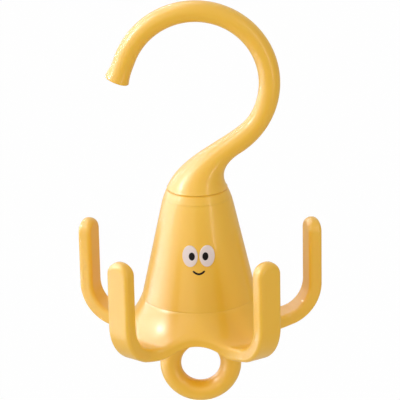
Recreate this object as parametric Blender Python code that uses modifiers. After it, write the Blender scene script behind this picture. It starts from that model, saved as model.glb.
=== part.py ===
"""Rotating closet hook.

A round rod hook ends in a bell-shaped cap, which turns on the tapering body below it. The body stands on
a flaring skirt with five upturned arms, and an eye under the skirt takes the next hook. All sizes are real
sizes in metres. +Z is up along the swivel axis, +X is right and -Y is towards the face. The origin is the
top of the hook's inner side, where the closet rod carries it.
"""

import math

import bmesh
import bpy
import numpy as np

MM = 0.001

# Hook rod
ROD_RADIUS = 5.05 * MM
HOOK_RADIUS = 34.8 * MM  # of the rod's centre line
TIP_TILT = math.radians(22.0)  # the tip's lean from upright
TIP_LENGTH = 11.8 * MM  # straight stretch at the free end
TIP_RADIUS = 5.9 * MM  # the flared end
TIP_FLARE = 8.0 * MM  # length over which it flares
TIP_EDGE = 0.8 * MM

# Swan neck and cap
NECK_DROP = 51.0 * MM  # hook centre to swivel groove
CAP_RADIUS = 14.4 * MM  # at the groove
NECK_INNER_ANGLE = math.radians(-32.6)  # where the inner side leaves the round
NECK_OUTER_ANGLE = math.radians(-58.6)  # where the outer side leaves it
NECK_INNER_LEAN = math.radians(21.8)  # the cap's sides at the groove, from upright
NECK_OUTER_LEAN = math.radians(29.5)
NECK_INNER_HANDLE_SHARES = (0.235, 0.350)  # of the drop, at the round and at the cap
NECK_OUTER_HANDLE_SHARES = (0.143, 0.161)
NECK_OUTER_ROUND_SHARE = 0.43  # of the neck's sections, those whose outer side is still round
CAP_WALL = 2.2 * MM  # at the rim
CAP_HOLLOW_DEPTH = 4.5 * MM
CAP_HOLLOW_RADIUS = 8.4 * MM  # at its roof
POST_RADIUS = 4.0 * MM
POST_ROOT_RADIUS = 5.2 * MM

# Swivel
GROOVE_GAP = 0.6 * MM
CLEARANCE = 0.3 * MM  # between pieces that touch
WASHER_THICKNESS = 1.3 * MM
WASHER_RADIUS = 8.4 * MM
STEEL_WASHER_THICKNESS = 1.2 * MM
PIVOT_SCREW_RADIUS = 1.9 * MM
PIVOT_SCREW_LENGTH = 15.0 * MM
PIVOT_HEAD_RADIUS = 3.9 * MM
PIVOT_HEAD_HEIGHT = 2.6 * MM

# Body
BODY_HEIGHT = 53.4 * MM  # groove to lower seam
SEAM_RADIUS = 27.45 * MM
TAPER_SHARE = 0.2255  # radius lost for each unit of height
SHOULDER_DROP = 7.4 * MM  # below the groove, where the sides become straight
COLLAR_HEIGHT = 4.2 * MM
CONE_WALL = 2.4 * MM
ROOF_THICKNESS = 3.4 * MM
SPIGOT_RADIUS = 6.6 * MM
SEAM_EDGE = 0.25 * MM  # rounding of the edges at the parting lines

# Skirt and arms
ARM_COUNT = 5
ARM_TURN = math.radians(-3.1)  # of the set of arms, against the face
ARM_REACH = 60.35 * MM  # axis to an arm's outer face
ARM_WIDTH = 12.4 * MM
ARM_THICKNESS = 6.6 * MM
ARM_HEIGHT = 53.2 * MM  # lowest point to tip
ARM_EDGE = 1.8 * MM  # rounding along the rim and up the arms
TROUGH_RADIUS = 39.35 * MM  # axis to the trough's lowest line
ARM_ROOT_SHARE = 0.427  # of the inner bend, how far past the trough an arm's sides become parallel
SKIRT_DROP = 14.1 * MM  # lower seam to the trough
SKIRT_TOP_HANDLE_SHARES = (0.15, 0.33, 0.41)  # out and down at the seam, back at the trough
WEB_RADIUS = 33.0 * MM  # axis to the rim midway between two arms
WEB_HANDLE_SHARES = (0.47, 0.24)  # of half the gap, at the middle and at the arm
UNDERSIDE_DROP = 13.5 * MM  # lower seam to the underside at the ring plate
UNDERSIDE_HANDLE_SHARES = (0.52, 0.35)

# Joint between cone and arm base
LIP_HEIGHT = 2.2 * MM
LIP_THICKNESS = 1.6 * MM
FLOOR_DEPTH = 7.2 * MM  # lower seam to the floor
FLOOR_THICKNESS = 3.0 * MM
PLATE_THICKNESS = 3.2 * MM
PLATE_RADIUS = 27.4 * MM
PLATE_SCREW_COUNT = 3
PLATE_SCREW_CIRCLE = 17.5 * MM
PLATE_SCREW_RADIUS = 1.4 * MM
PLATE_SCREW_REACH = 10.0 * MM  # shank inside the boss
PLATE_HEAD_RADIUS = 2.7 * MM
PLATE_HEAD_HEIGHT = 1.7 * MM
BOSS_RADIUS = 3.3 * MM
BOSS_HEIGHT = 16.0 * MM
SCREW_DOME_SHARE = 2 / 3  # of a screw head's height, above it is straight
SCREW_SLOT_SHARES = (1.1, 0.25)  # of a screw head's radius, length and width of its cross recess
RIB_THICKNESS = 2.0 * MM
RIB_HEIGHT = 6.9 * MM

# Bottom ring
RING_RADIUS = 14.6 * MM  # of its centre line
RING_TUBE_RADIUS = 5.1 * MM
RING_DROP = 35.8 * MM  # lower seam to ring centre
RING_NECK_LENGTH = 19.0 * MM
RING_NECK_THICKNESS = 8.6 * MM
RING_NECK_EDGE = 2.0 * MM

# Face
EYE_WIDTH = 7.3 * MM
EYE_HEIGHT = 9.9 * MM
EYE_SPACING = 8.05 * MM  # centre to centre
EYE_DROP = 26.9 * MM  # groove to the eyes' centres
EYE_THICKNESS = 0.5 * MM
PUPIL_WIDTH = 2.8 * MM
PUPIL_HEIGHT = 3.9 * MM
PUPIL_SHIFT = 0.9 * MM  # towards the nose
PRINT_THICKNESS = 0.2 * MM
PRINT_GAP = 0.1 * MM
SMILE_WIDTH = 5.6 * MM
SMILE_SAG = 1.5 * MM
SMILE_DROP = 6.8 * MM  # below the eyes' centres
SMILE_STROKE = 0.9 * MM
SMILE_END_SHARE = 0.45  # of the stroke, left at the mouth's two ends
# Rings of a raised oval: share of its half width, and lift as a share of its thickness
OVAL_RINGS = ((0.0, 1.0), (0.5, 1.0), (0.93, 0.9), (1.0, 0.5), (1.0, 0.0), (0.5, 0.0), (0.0, 0.0))

# Fineness of the meshes
ROD_SIDES = 20
ROUND_SECTIONS = 22
NECK_SECTIONS = 17
CURVE_POINTS = 60
TURN_STEPS = 48
SMALL_STEPS = 24
WEB_STEPS = 6
ARM_COLUMNS = 4
SKIRT_ROWS = 5
BEND_STEPS = 6
STRAIGHT_STEPS = 1
TIP_STEPS = 4
EDGE_STEPS = 3
SMILE_POINTS = 13
SHARP_ANGLE = math.radians(40.0)
CUT_OVERRUN = 1.0 * MM
WELD_SHARE = 0.003  # of the clearance, below which points are one

# Levels, worked out from the sizes
HOOK_Z = -(HOOK_RADIUS - ROD_RADIUS)
GROOVE_Z = HOOK_Z - NECK_DROP
CAP_BOTTOM_Z = GROOVE_Z + GROOVE_GAP / 2
COLLAR_TOP_Z = GROOVE_Z - GROOVE_GAP / 2
SEAM_Z = GROOVE_Z - BODY_HEIGHT
THRUST_TOP_Z = CAP_BOTTOM_Z - CLEARANCE
LEDGE_Z = THRUST_TOP_Z - WASHER_THICKNESS - CLEARANCE
COLLAR_BOTTOM_Z = GROOVE_Z - COLLAR_HEIGHT + CLEARANCE / 2
CONE_TOP_Z = COLLAR_BOTTOM_Z - CLEARANCE
ROOF_BOTTOM_Z = CONE_TOP_Z - ROOF_THICKNESS
BEARING_TOP_Z = ROOF_BOTTOM_Z - CLEARANCE
POST_END_Z = BEARING_TOP_Z - WASHER_THICKNESS
STEEL_TOP_Z = POST_END_Z - CLEARANCE
PIVOT_HEAD_TOP_Z = STEEL_TOP_Z - STEEL_WASHER_THICKNESS - CLEARANCE
CONE_BOTTOM_Z = SEAM_Z + CLEARANCE / 2
BASE_TOP_Z = SEAM_Z - CLEARANCE / 2
FLOOR_TOP_Z = SEAM_Z - FLOOR_DEPTH
FLOOR_BOTTOM_Z = FLOOR_TOP_Z - FLOOR_THICKNESS
PLATE_TOP_Z = FLOOR_BOTTOM_Z - CLEARANCE
PLATE_BOTTOM_Z = PLATE_TOP_Z - PLATE_THICKNESS
BOSS_BOTTOM_Z = FLOOR_TOP_Z + CLEARANCE
RING_Z = SEAM_Z - RING_DROP
TROUGH_Z = SEAM_Z - SKIRT_DROP
UNDERSIDE_Z = SEAM_Z - UNDERSIDE_DROP
INNER_BEND = ARM_REACH - ARM_THICKNESS - TROUGH_RADIUS
OUTER_BEND = ARM_REACH - TROUGH_RADIUS
ARM_ROOT_RADIUS = TROUGH_RADIUS + ARM_ROOT_SHARE * INNER_BEND
BEND_Z = TROUGH_Z + INNER_BEND
ARM_TIP_Z = BEND_Z - OUTER_BEND + ARM_HEIGHT
BORE_RADIUS = POST_RADIUS + CLEARANCE
EYE_Z = GROOVE_Z - EYE_DROP


# General helpers

def material(name, color, roughness, metallic=0.0):
    made = bpy.data.materials.new(name)
    made.use_nodes = True
    shader = made.node_tree.nodes["Principled BSDF"]
    shader.inputs["Base Color"].default_value = (*color, 1.0)
    shader.inputs["Roughness"].default_value = roughness
    shader.inputs["Metallic"].default_value = metallic
    return made


def collection(name):
    made = bpy.data.collections.new(name)
    bpy.context.scene.collection.children.link(made)
    return made


def put(obj, group, finish=None):
    """Moves an object into its collection, gives it its material and shades it smooth but for sharp edges."""
    for old in list(obj.users_collection):
        old.objects.unlink(obj)
    group.objects.link(obj)
    if finish:
        obj.data.materials.clear()
        obj.data.materials.append(finish)
    obj.data.shade_smooth()
    obj.data.set_sharp_from_angle(angle=SHARP_ANGLE)
    return obj


def closed_object(name, grids, group, finish):
    """One object from grids of points (rows, columns, 3) whose shared borders are welded."""
    built = bmesh.new()
    for grid in grids:
        rows, columns = grid.shape[:2]
        corners = [[built.verts.new(point) for point in row] for row in grid]
        for i in range(rows - 1):
            for j in range(columns - 1):
                built.faces.new((corners[i][j], corners[i][j + 1], corners[i + 1][j + 1], corners[i + 1][j]))
    bmesh.ops.remove_doubles(built, verts=built.verts, dist=WELD_SHARE * CLEARANCE)
    bmesh.ops.dissolve_degenerate(built, edges=built.edges, dist=WELD_SHARE * CLEARANCE)
    bmesh.ops.recalc_face_normals(built, faces=built.faces)
    mesh = bpy.data.meshes.new(name)
    built.to_mesh(mesh)
    built.free()
    return put(bpy.data.objects.new(name, mesh), group, finish)


def turned(name, profile, group, finish=None, steps=TURN_STEPS):
    """A solid of revolution about Z: a closed profile of (radius, height) points, outer side first, downwards."""
    mesh = bpy.data.meshes.new(name)
    count = len(profile)
    on_axis = profile[0][0] == 0 and profile[-1][0] == 0
    edges = [(i, i + 1) for i in range(count - 1)]
    if not on_axis:
        edges.append((count - 1, 0))
    mesh.from_pydata([(radius, 0, height) for radius, height in profile], edges, [])
    obj = put(bpy.data.objects.new(name, mesh), group, finish)
    screw = obj.modifiers.new("Turn", "SCREW")
    screw.axis = "Z"
    screw.steps = steps
    screw.render_steps = steps
    screw.use_merge_vertices = True
    screw.merge_threshold = WELD_SHARE * CLEARANCE
    return obj


def cutter(obj, group):
    put(obj, group)
    obj.hide_render = True
    obj.display_type = "WIRE"
    return obj


def boolean(obj, other, operation):
    step = obj.modifiers.new(f"{operation.title()} {other.name}", "BOOLEAN")
    step.object = other
    step.operation = operation
    step.solver = "EXACT"


def cylinder(name, radius, bottom, top, group, x=0.0, y=0.0, sides=SMALL_STEPS):
    bpy.ops.mesh.primitive_cylinder_add(
        vertices=sides, radius=radius, depth=top - bottom, location=(x, y, (top + bottom) / 2)
    )
    obj = bpy.context.object
    obj.name = name
    return cutter(obj, group)


def block(name, size, center, group, turn=0.0):
    bpy.ops.mesh.primitive_cube_add(size=1.0, location=center, rotation=(0, 0, turn))
    obj = bpy.context.object
    obj.name = name
    obj.scale = size
    bpy.ops.object.transform_apply(location=False, rotation=False, scale=True)
    return cutter(obj, group)


def bezier(points, share):
    """Points of a cubic Bezier curve at the given shares of its parameter."""
    a, b, c, d = (np.asarray(point, float) for point in points)
    t = np.atleast_1d(share)[:, None]
    return (1 - t) ** 3 * a + 3 * t * (1 - t) ** 2 * b + 3 * t**2 * (1 - t) * c + t**3 * d


def body_radius(height):
    """Outer radius of collar and cone: straight sides that curve in above the shoulder."""
    straight = SEAM_RADIUS - TAPER_SHARE * (height - SEAM_Z)
    shoulder = GROOVE_Z - SHOULDER_DROP
    excess = SEAM_RADIUS - TAPER_SHARE * BODY_HEIGHT - CAP_RADIUS
    rise = max(0.0, height - shoulder) / SHOULDER_DROP
    return straight - excess * rise**2


# Hook

def neck_sides(share):
    """Inner and outer side of the swan neck in the hook's plane, as (x, z), at each share of its sections."""
    def on_round(radius, angle):
        return np.array([radius * math.cos(angle), HOOK_Z + radius * math.sin(angle)])

    def onward(angle):
        return np.array([math.sin(angle), -math.cos(angle)])

    inner_start = on_round(HOOK_RADIUS - ROD_RADIUS, NECK_INNER_ANGLE)
    inner_end = np.array([-CAP_RADIUS, CAP_BOTTOM_Z])
    inner_lean = np.array([math.sin(NECK_INNER_LEAN), math.cos(NECK_INNER_LEAN)])
    inner = bezier(
        (
            inner_start,
            inner_start + NECK_INNER_HANDLE_SHARES[0] * NECK_DROP * onward(NECK_INNER_ANGLE),
            inner_end + NECK_INNER_HANDLE_SHARES[1] * NECK_DROP * inner_lean,
            inner_end,
        ),
        share,
    )
    outer_start = on_round(HOOK_RADIUS + ROD_RADIUS, NECK_OUTER_ANGLE)
    outer_end = np.array([CAP_RADIUS, CAP_BOTTOM_Z])
    outer_lean = np.array([-math.sin(NECK_OUTER_LEAN), math.cos(NECK_OUTER_LEAN)])
    after = np.clip((share - NECK_OUTER_ROUND_SHARE) / (1 - NECK_OUTER_ROUND_SHARE), 0, 1)
    outer = bezier(
        (
            outer_start,
            outer_start + NECK_OUTER_HANDLE_SHARES[0] * NECK_DROP * onward(NECK_OUTER_ANGLE),
            outer_end + NECK_OUTER_HANDLE_SHARES[1] * NECK_DROP * outer_lean,
            outer_end,
        ),
        after,
    )
    for i, place in enumerate(share):
        if place < NECK_OUTER_ROUND_SHARE:
            part = place / NECK_OUTER_ROUND_SHARE
            angle = NECK_INNER_ANGLE + part * (NECK_OUTER_ANGLE - NECK_INNER_ANGLE)
            outer[i] = on_round(HOOK_RADIUS + ROD_RADIUS, angle)
    return inner, outer


def hook_sections():
    """Round sections from the tip to the pilot hole in the post, each a centre and a half width in X and Z."""
    sections = []
    start = math.pi - TIP_TILT
    outward = np.array([math.cos(start), math.sin(start)])
    onward = np.array([-math.sin(start), math.cos(start)])
    leave = np.array([0, HOOK_Z]) + HOOK_RADIUS * outward
    end = leave + TIP_LENGTH * onward
    sections.append((end, 0 * outward))
    for turn in np.radians((0, 30, 60, 90)):
        back = TIP_EDGE * (1 - math.cos(turn))
        sections.append((end - back * onward, (TIP_RADIUS - TIP_EDGE * (1 - math.sin(turn))) * outward))
    for share in (0.75, 0.5, 0.25, 0.0):
        along = TIP_LENGTH - TIP_FLARE + share * (TIP_FLARE - TIP_EDGE)
        radius = ROD_RADIUS + (TIP_RADIUS - ROD_RADIUS) * share**2
        sections.append((leave + along * onward, radius * outward))
    for angle in np.linspace(start, NECK_INNER_ANGLE, ROUND_SECTIONS):
        way = np.array([math.cos(angle), math.sin(angle)])
        sections.append((np.array([0, HOOK_Z]) + HOOK_RADIUS * way, ROD_RADIUS * way))
    inner, outer = neck_sides(np.linspace(0, 1, NECK_SECTIONS)[1:])
    sections += [((a + b) / 2, (b - a) / 2) for a, b in zip(inner, outer)]
    pilot = PIVOT_SCREW_RADIUS + CLEARANCE
    pilot_top = PIVOT_HEAD_TOP_Z + PIVOT_SCREW_LENGTH + CLEARANCE
    for radius, height in (
        (CAP_RADIUS - CAP_WALL, CAP_BOTTOM_Z),
        (CAP_HOLLOW_RADIUS, CAP_BOTTOM_Z + CAP_HOLLOW_DEPTH),
        (POST_ROOT_RADIUS, CAP_BOTTOM_Z + CAP_HOLLOW_DEPTH),
        (POST_RADIUS, CAP_BOTTOM_Z + CLEARANCE),
        (POST_RADIUS, POST_END_Z),
        (pilot, POST_END_Z),
        (pilot, pilot_top),
        (0, pilot_top),
    ):
        sections.append((np.array([0, height]), np.array([radius, 0])))
    return sections


def make_hook(parts, finish):
    around = np.linspace(0, 2 * np.pi, ROD_SIDES + 1)
    rings = []
    for center, half in hook_sections():
        width = np.hypot(*half)
        rings.append(
            np.stack(
                [
                    center[0] + half[0] * np.cos(around),
                    width * np.sin(around),
                    center[1] + half[1] * np.cos(around),
                ],
                axis=1,
            )
        )
    closed_object("hook", [np.array(rings)], parts, finish)


# Swivel

def make_swivel(parts, finishes):
    collar_heights = np.linspace(COLLAR_TOP_Z - SEAM_EDGE, COLLAR_BOTTOM_Z + SEAM_EDGE, 4)
    seat = WASHER_RADIUS + CLEARANCE
    turned(
        "swivel_collar",
        [(body_radius(COLLAR_TOP_Z) - SEAM_EDGE, COLLAR_TOP_Z)]
        + [(body_radius(height), height) for height in collar_heights]
        + [
            (body_radius(COLLAR_BOTTOM_Z) - SEAM_EDGE, COLLAR_BOTTOM_Z),
            (SPIGOT_RADIUS + CLEARANCE, COLLAR_BOTTOM_Z),
            (SPIGOT_RADIUS + CLEARANCE, LEDGE_Z),
            (seat, LEDGE_Z),
            (seat, COLLAR_TOP_Z),
        ],
        parts,
        finishes["yellow"],
    )
    for name, top in (("thrust_washer", THRUST_TOP_Z), ("bearing_washer", BEARING_TOP_Z)):
        turned(
            name,
            [
                (WASHER_RADIUS, top),
                (WASHER_RADIUS, top - WASHER_THICKNESS),
                (BORE_RADIUS, top - WASHER_THICKNESS),
                (BORE_RADIUS, top),
            ],
            parts,
            finishes["white_plastic"],
            SMALL_STEPS,
        )
    hole = PIVOT_SCREW_RADIUS + CLEARANCE
    turned(
        "pivot_washer",
        [
            (WASHER_RADIUS, STEEL_TOP_Z),
            (WASHER_RADIUS, STEEL_TOP_Z - STEEL_WASHER_THICKNESS),
            (hole, STEEL_TOP_Z - STEEL_WASHER_THICKNESS),
            (hole, STEEL_TOP_Z),
        ],
        parts,
        finishes["steel"],
        SMALL_STEPS,
    )


def make_screw(name, x, y, head_top, head_radius, head_height, shank_radius, length, places, finish):
    """A pan-head screw that points up, with a cross recess in its head."""
    parts, cutters = places
    bottom = head_top - head_height
    point = head_top + length
    rise = SCREW_DOME_SHARE * head_height
    dome = [
        (head_radius * math.sin(turn), bottom + rise * (1 - math.cos(turn)))
        for turn in np.radians((90, 75, 50, 25))
    ]
    screw = turned(
        name,
        [(0, point), (shank_radius, point - shank_radius), (shank_radius, head_top), (head_radius, head_top)]
        + dome
        + [(0, bottom)],
        parts,
        finish,
        SMALL_STEPS,
    )
    screw.location = (x, y, 0)
    long_side, short_side = (share * head_radius for share in SCREW_SLOT_SHARES)
    for turn, size in (("along", (long_side, short_side)), ("across", (short_side, long_side))):
        slot = block(f"{name}_slot_{turn}", (*size, head_height), (x, y, bottom), cutters)
        boolean(screw, slot, "DIFFERENCE")
    return screw


# Cone

def screw_places():
    """Where the plate screws stand: one at the back and two in front."""
    for i in range(PLATE_SCREW_COUNT):
        angle = math.pi / 2 + i * 2 * math.pi / PLATE_SCREW_COUNT
        yield i + 1, angle, PLATE_SCREW_CIRCLE * math.cos(angle), PLATE_SCREW_CIRCLE * math.sin(angle)


def make_cone(parts, cutters, finish):
    shoulder = GROOVE_Z - SHOULDER_DROP
    outer_heights = [CONE_TOP_Z - SEAM_EDGE, (CONE_TOP_Z + shoulder) / 2, shoulder, CONE_BOTTOM_Z + SEAM_EDGE]
    cone = turned(
        "cone_shell",
        [(SPIGOT_RADIUS, LEDGE_Z), (SPIGOT_RADIUS, CONE_TOP_Z), (body_radius(CONE_TOP_Z) - SEAM_EDGE, CONE_TOP_Z)]
        + [(body_radius(height), height) for height in outer_heights]
        + [
            (body_radius(CONE_BOTTOM_Z) - SEAM_EDGE, CONE_BOTTOM_Z),
            (body_radius(CONE_BOTTOM_Z) - CONE_WALL, CONE_BOTTOM_Z),
            (body_radius(ROOF_BOTTOM_Z) - CONE_WALL, ROOF_BOTTOM_Z),
            (BORE_RADIUS, ROOF_BOTTOM_Z),
            (BORE_RADIUS, LEDGE_Z),
        ],
        parts,
        finish,
    )
    rib_bottom = BASE_TOP_Z + LIP_HEIGHT + CLEARANCE
    rib_top = rib_bottom + RIB_HEIGHT
    rib_end = (body_radius(rib_bottom) - CONE_WALL + body_radius(rib_top)) / 2
    for number, angle, x, y in screw_places():
        boss_top = BOSS_BOTTOM_Z + BOSS_HEIGHT
        boss = cylinder(f"boss_{number}", BOSS_RADIUS, BOSS_BOTTOM_Z, boss_top, cutters, x, y)
        boolean(cone, boss, "UNION")
        middle = (PLATE_SCREW_CIRCLE + rib_end) / 2
        rib = block(
            f"rib_{number}",
            (rib_end - PLATE_SCREW_CIRCLE, RIB_THICKNESS, RIB_HEIGHT),
            (middle * math.cos(angle), middle * math.sin(angle), (rib_bottom + rib_top) / 2),
            cutters,
            angle,
        )
        boolean(cone, rib, "UNION")
        pilot = cylinder(
            f"pilot_{number}",
            PLATE_SCREW_RADIUS + CLEARANCE,
            BOSS_BOTTOM_Z - CUT_OVERRUN,
            BOSS_BOTTOM_Z + PLATE_SCREW_REACH + CLEARANCE,
            cutters,
            x,
            y,
        )
        boolean(cone, pilot, "DIFFERENCE")


# Skirt and arms

def skirt_height(distance):
    """Height of the skirt's upper face at each distance from the axis."""
    shares = SKIRT_TOP_HANDLE_SHARES
    run = TROUGH_RADIUS - SEAM_RADIUS
    drop = BASE_TOP_Z - TROUGH_Z
    curve = bezier(
        (
            (SEAM_RADIUS, BASE_TOP_Z),
            (SEAM_RADIUS + shares[0] * run, BASE_TOP_Z - shares[1] * drop),
            (TROUGH_RADIUS - shares[2] * run, TROUGH_Z),
            (TROUGH_RADIUS, TROUGH_Z),
        ),
        np.linspace(0, 1, CURVE_POINTS),
    )
    inside = np.interp(distance, curve[:, 0], curve[:, 1])
    beyond = np.clip(distance - TROUGH_RADIUS, 0, INNER_BEND)
    return inside + INNER_BEND - np.sqrt(INNER_BEND**2 - beyond**2)


def underside_height(distance):
    """Height of the skirt's lower face at each distance from the axis."""
    shares = UNDERSIDE_HANDLE_SHARES
    low = BEND_Z - OUTER_BEND
    start = PLATE_RADIUS + CLEARANCE
    run = TROUGH_RADIUS - start
    curve = bezier(
        (
            (start, UNDERSIDE_Z),
            (start + shares[0] * run, UNDERSIDE_Z),
            (TROUGH_RADIUS - shares[1] * run, low),
            (TROUGH_RADIUS, low),
        ),
        np.linspace(0, 1, CURVE_POINTS),
    )
    inside = np.interp(distance, curve[:, 0], curve[:, 1])
    beyond = np.clip(distance - TROUGH_RADIUS, 0, OUTER_BEND)
    return inside + OUTER_BEND - np.sqrt(OUTER_BEND**2 - beyond**2)


def web_outline(count):
    """The rim from midway between two arms to the root of the next, seen from above, with its outward way.

    In the arm's own frame: first along the arm, then across it, towards the arm's positive side.
    """
    half = math.pi / ARM_COUNT
    root = np.array([ARM_ROOT_RADIUS, ARM_WIDTH / 2])
    middle_way = np.array([math.cos(half), math.sin(half)])
    across_way = np.array([middle_way[1], -middle_way[0]])
    reach = root @ across_way
    middle = WEB_RADIUS * middle_way
    shares = WEB_HANDLE_SHARES
    points = (
        middle,
        middle + shares[0] * reach * across_way,
        root - shares[1] * reach * np.array([1.0, 0.0]),
        root,
    )
    t = np.linspace(0, 1, count)
    line = bezier(points, t)
    a, b, c, d = (np.asarray(point) for point in points)
    t = t[:, None]
    way = (1 - t) ** 2 * (b - a) + 2 * t * (1 - t) * (c - b) + t**2 * (d - c)
    way /= np.linalg.norm(way, axis=1)[:, None]
    outward = np.stack([-way[:, 1], way[:, 0]], axis=1)
    return line, outward


def arm_stations():
    """Upper and lower face of an arm round its bend, as (along, height), and the steps of its bar and its tip."""
    beyond = ARM_ROOT_RADIUS - TROUGH_RADIUS
    share = np.linspace(0, 1, BEND_STEPS + 1)[:, None]
    rows = []
    for bend in (INNER_BEND, OUTER_BEND):
        start = math.asin(beyond / bend)
        turn = start + (math.pi / 2 - start) * share
        rows.append(
            np.hstack([TROUGH_RADIUS + bend * np.sin(turn), BEND_Z - bend * np.cos(turn)])
        )
    tip_center = ARM_TIP_Z - ARM_WIDTH / 2
    climb = np.linspace(BEND_Z, tip_center, STRAIGHT_STEPS + 1)[1:]
    around = np.linspace(0, math.pi / 2, TIP_STEPS + 1)[1:]
    return rows, climb, tip_center, around


def arm_base_grids():
    """Grids of points for the skirt with its arms.

    Both faces are fans of rays from the round seam to the star-shaped rim, which run on up each arm. The
    rim is one band with two rounded edges. It follows the outline, with a quarter circle at each edge.
    """
    edge = ARM_EDGE
    half = ARM_WIDTH / 2
    line, outward = web_outline(WEB_STEPS + 1)
    (upper, lower), climb, tip_center, around = arm_stations()
    curl = np.linspace(0, math.pi / 2, EDGE_STEPS + 1)
    inset = edge * (1 - np.sin(curl))
    sink = edge * (1 - np.cos(curl))
    inner = ARM_REACH - ARM_THICKNESS

    # The band beside one half of an arm, as positions in the arm's frame: along, across, height.
    band = []
    for point, way in zip(line, outward):
        plan = point - inset[:, None] * way
        distance = np.hypot(plan[:, 0], plan[:, 1])
        top = np.column_stack([plan, skirt_height(distance) - sink])
        low = np.column_stack([plan, underside_height(distance) + sink])
        band.append(np.vstack([top, low[::-1]]))
    sides = [(u, l) for u, l in zip(upper[1:], lower[1:])]
    sides += [(np.array([inner, height]), np.array([ARM_REACH, height])) for height in climb]
    for high, low in sides:
        lift = (high - low) / np.linalg.norm(high - low)
        top = high - sink[:, None] * lift
        bottom = low + sink[:, None] * lift
        across = half - inset
        top = np.column_stack([top[:, 0], across, top[:, 1]])
        bottom = np.column_stack([bottom[:, 0], across, bottom[:, 1]])
        band.append(np.vstack([top, bottom[::-1]]))
    for turn in around:
        across = (half - inset) * math.cos(turn)
        height = tip_center + (half - inset) * math.sin(turn)
        top = np.column_stack([inner + sink, across, height])
        bottom = np.column_stack([ARM_REACH - sink, across, height])
        band.append(np.vstack([top, bottom[::-1]]))
    band = np.array(band)

    # Both faces of an arm: straight rows between its two bands.
    spread = np.linspace(-1, 1, ARM_COLUMNS + 1)
    faces = []
    for edge_line in (band[WEB_STEPS:, 0], band[WEB_STEPS:, -1]):
        faces.append(
            np.stack(
                [
                    np.repeat(edge_line[:, :1], ARM_COLUMNS + 1, axis=1),
                    edge_line[:, 1:2] * spread,
                    np.repeat(edge_line[:, 2:], ARM_COLUMNS + 1, axis=1),
                ],
                axis=2,
            )
        )
    # The fan's outer ends over one arm's share of the round: its two webs and its root.
    mirror = np.array([1, -1, 1])
    fans = []
    recess = PLATE_RADIUS + CLEARANCE
    for side, height_of, start in ((0, skirt_height, SEAM_RADIUS), (-1, underside_height, recess)):
        web = band[: WEB_STEPS + 1, side]
        root = faces[0 if side == 0 else 1][0]
        ends = np.vstack([web * mirror, root[1:-1], web[::-1]])
        distance = np.hypot(ends[:, 0], ends[:, 1])
        rows = []
        for share in np.linspace(0, 1, SKIRT_ROWS + 1):
            reach = start + share * (distance - start)
            plan = ends[:, :2] / distance[:, None] * reach[:, None]
            level = ends[:, 2] if share == 1 else height_of(reach)
            rows.append(np.column_stack([plan, level]))
        fans.append(np.array(rows))
    # The round middle: seat, lip, floor and the recess for the ring plate, on the fans' own rays.
    lip_outer = body_radius(CONE_BOTTOM_Z + LIP_HEIGHT) - CONE_WALL - CLEARANCE
    lip_inner = lip_outer - LIP_THICKNESS
    lip_top = BASE_TOP_Z + LIP_HEIGHT
    upper_profile = (
        (lip_outer, BASE_TOP_Z),
        (lip_outer, lip_top),
        (lip_inner, lip_top),
        (lip_inner, FLOOR_TOP_Z),
        (0, FLOOR_TOP_Z),
    )
    lower_profile = ((PLATE_RADIUS + CLEARANCE, FLOOR_BOTTOM_Z), (0, FLOOR_BOTTOM_Z))
    middles = []
    for fan, profile in zip(fans, (upper_profile, lower_profile)):
        first = fan[0]
        ray = first[:, :2] / np.hypot(first[:, 0], first[:, 1])[:, None]
        rows = [first]
        rows += [np.column_stack([ray * radius, np.full(len(ray), height)]) for radius, height in profile]
        middles.append(np.array(rows))

    local = [band, band * mirror] + faces + fans + middles
    grids = []
    for i in range(ARM_COUNT):
        angle = ARM_TURN + math.pi / ARM_COUNT + i * 2 * math.pi / ARM_COUNT - math.pi / 2
        along = np.array([math.cos(angle), math.sin(angle), 0])
        across = np.array([-math.sin(angle), math.cos(angle), 0])
        up = np.array([0, 0, 1])
        grids += [grid @ np.array([along, across, up]) for grid in local]
    return grids


def make_arm_base(parts, cutters, finish):
    base = closed_object("arm_base", arm_base_grids(), parts, finish)
    for number, _angle, x, y in screw_places():
        hole = cylinder(
            f"floor_hole_{number}",
            PLATE_SCREW_RADIUS + CLEARANCE,
            FLOOR_BOTTOM_Z - CUT_OVERRUN,
            FLOOR_TOP_Z + CUT_OVERRUN,
            cutters,
            x,
            y,
        )
        boolean(base, hole, "DIFFERENCE")


# Bottom ring

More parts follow.
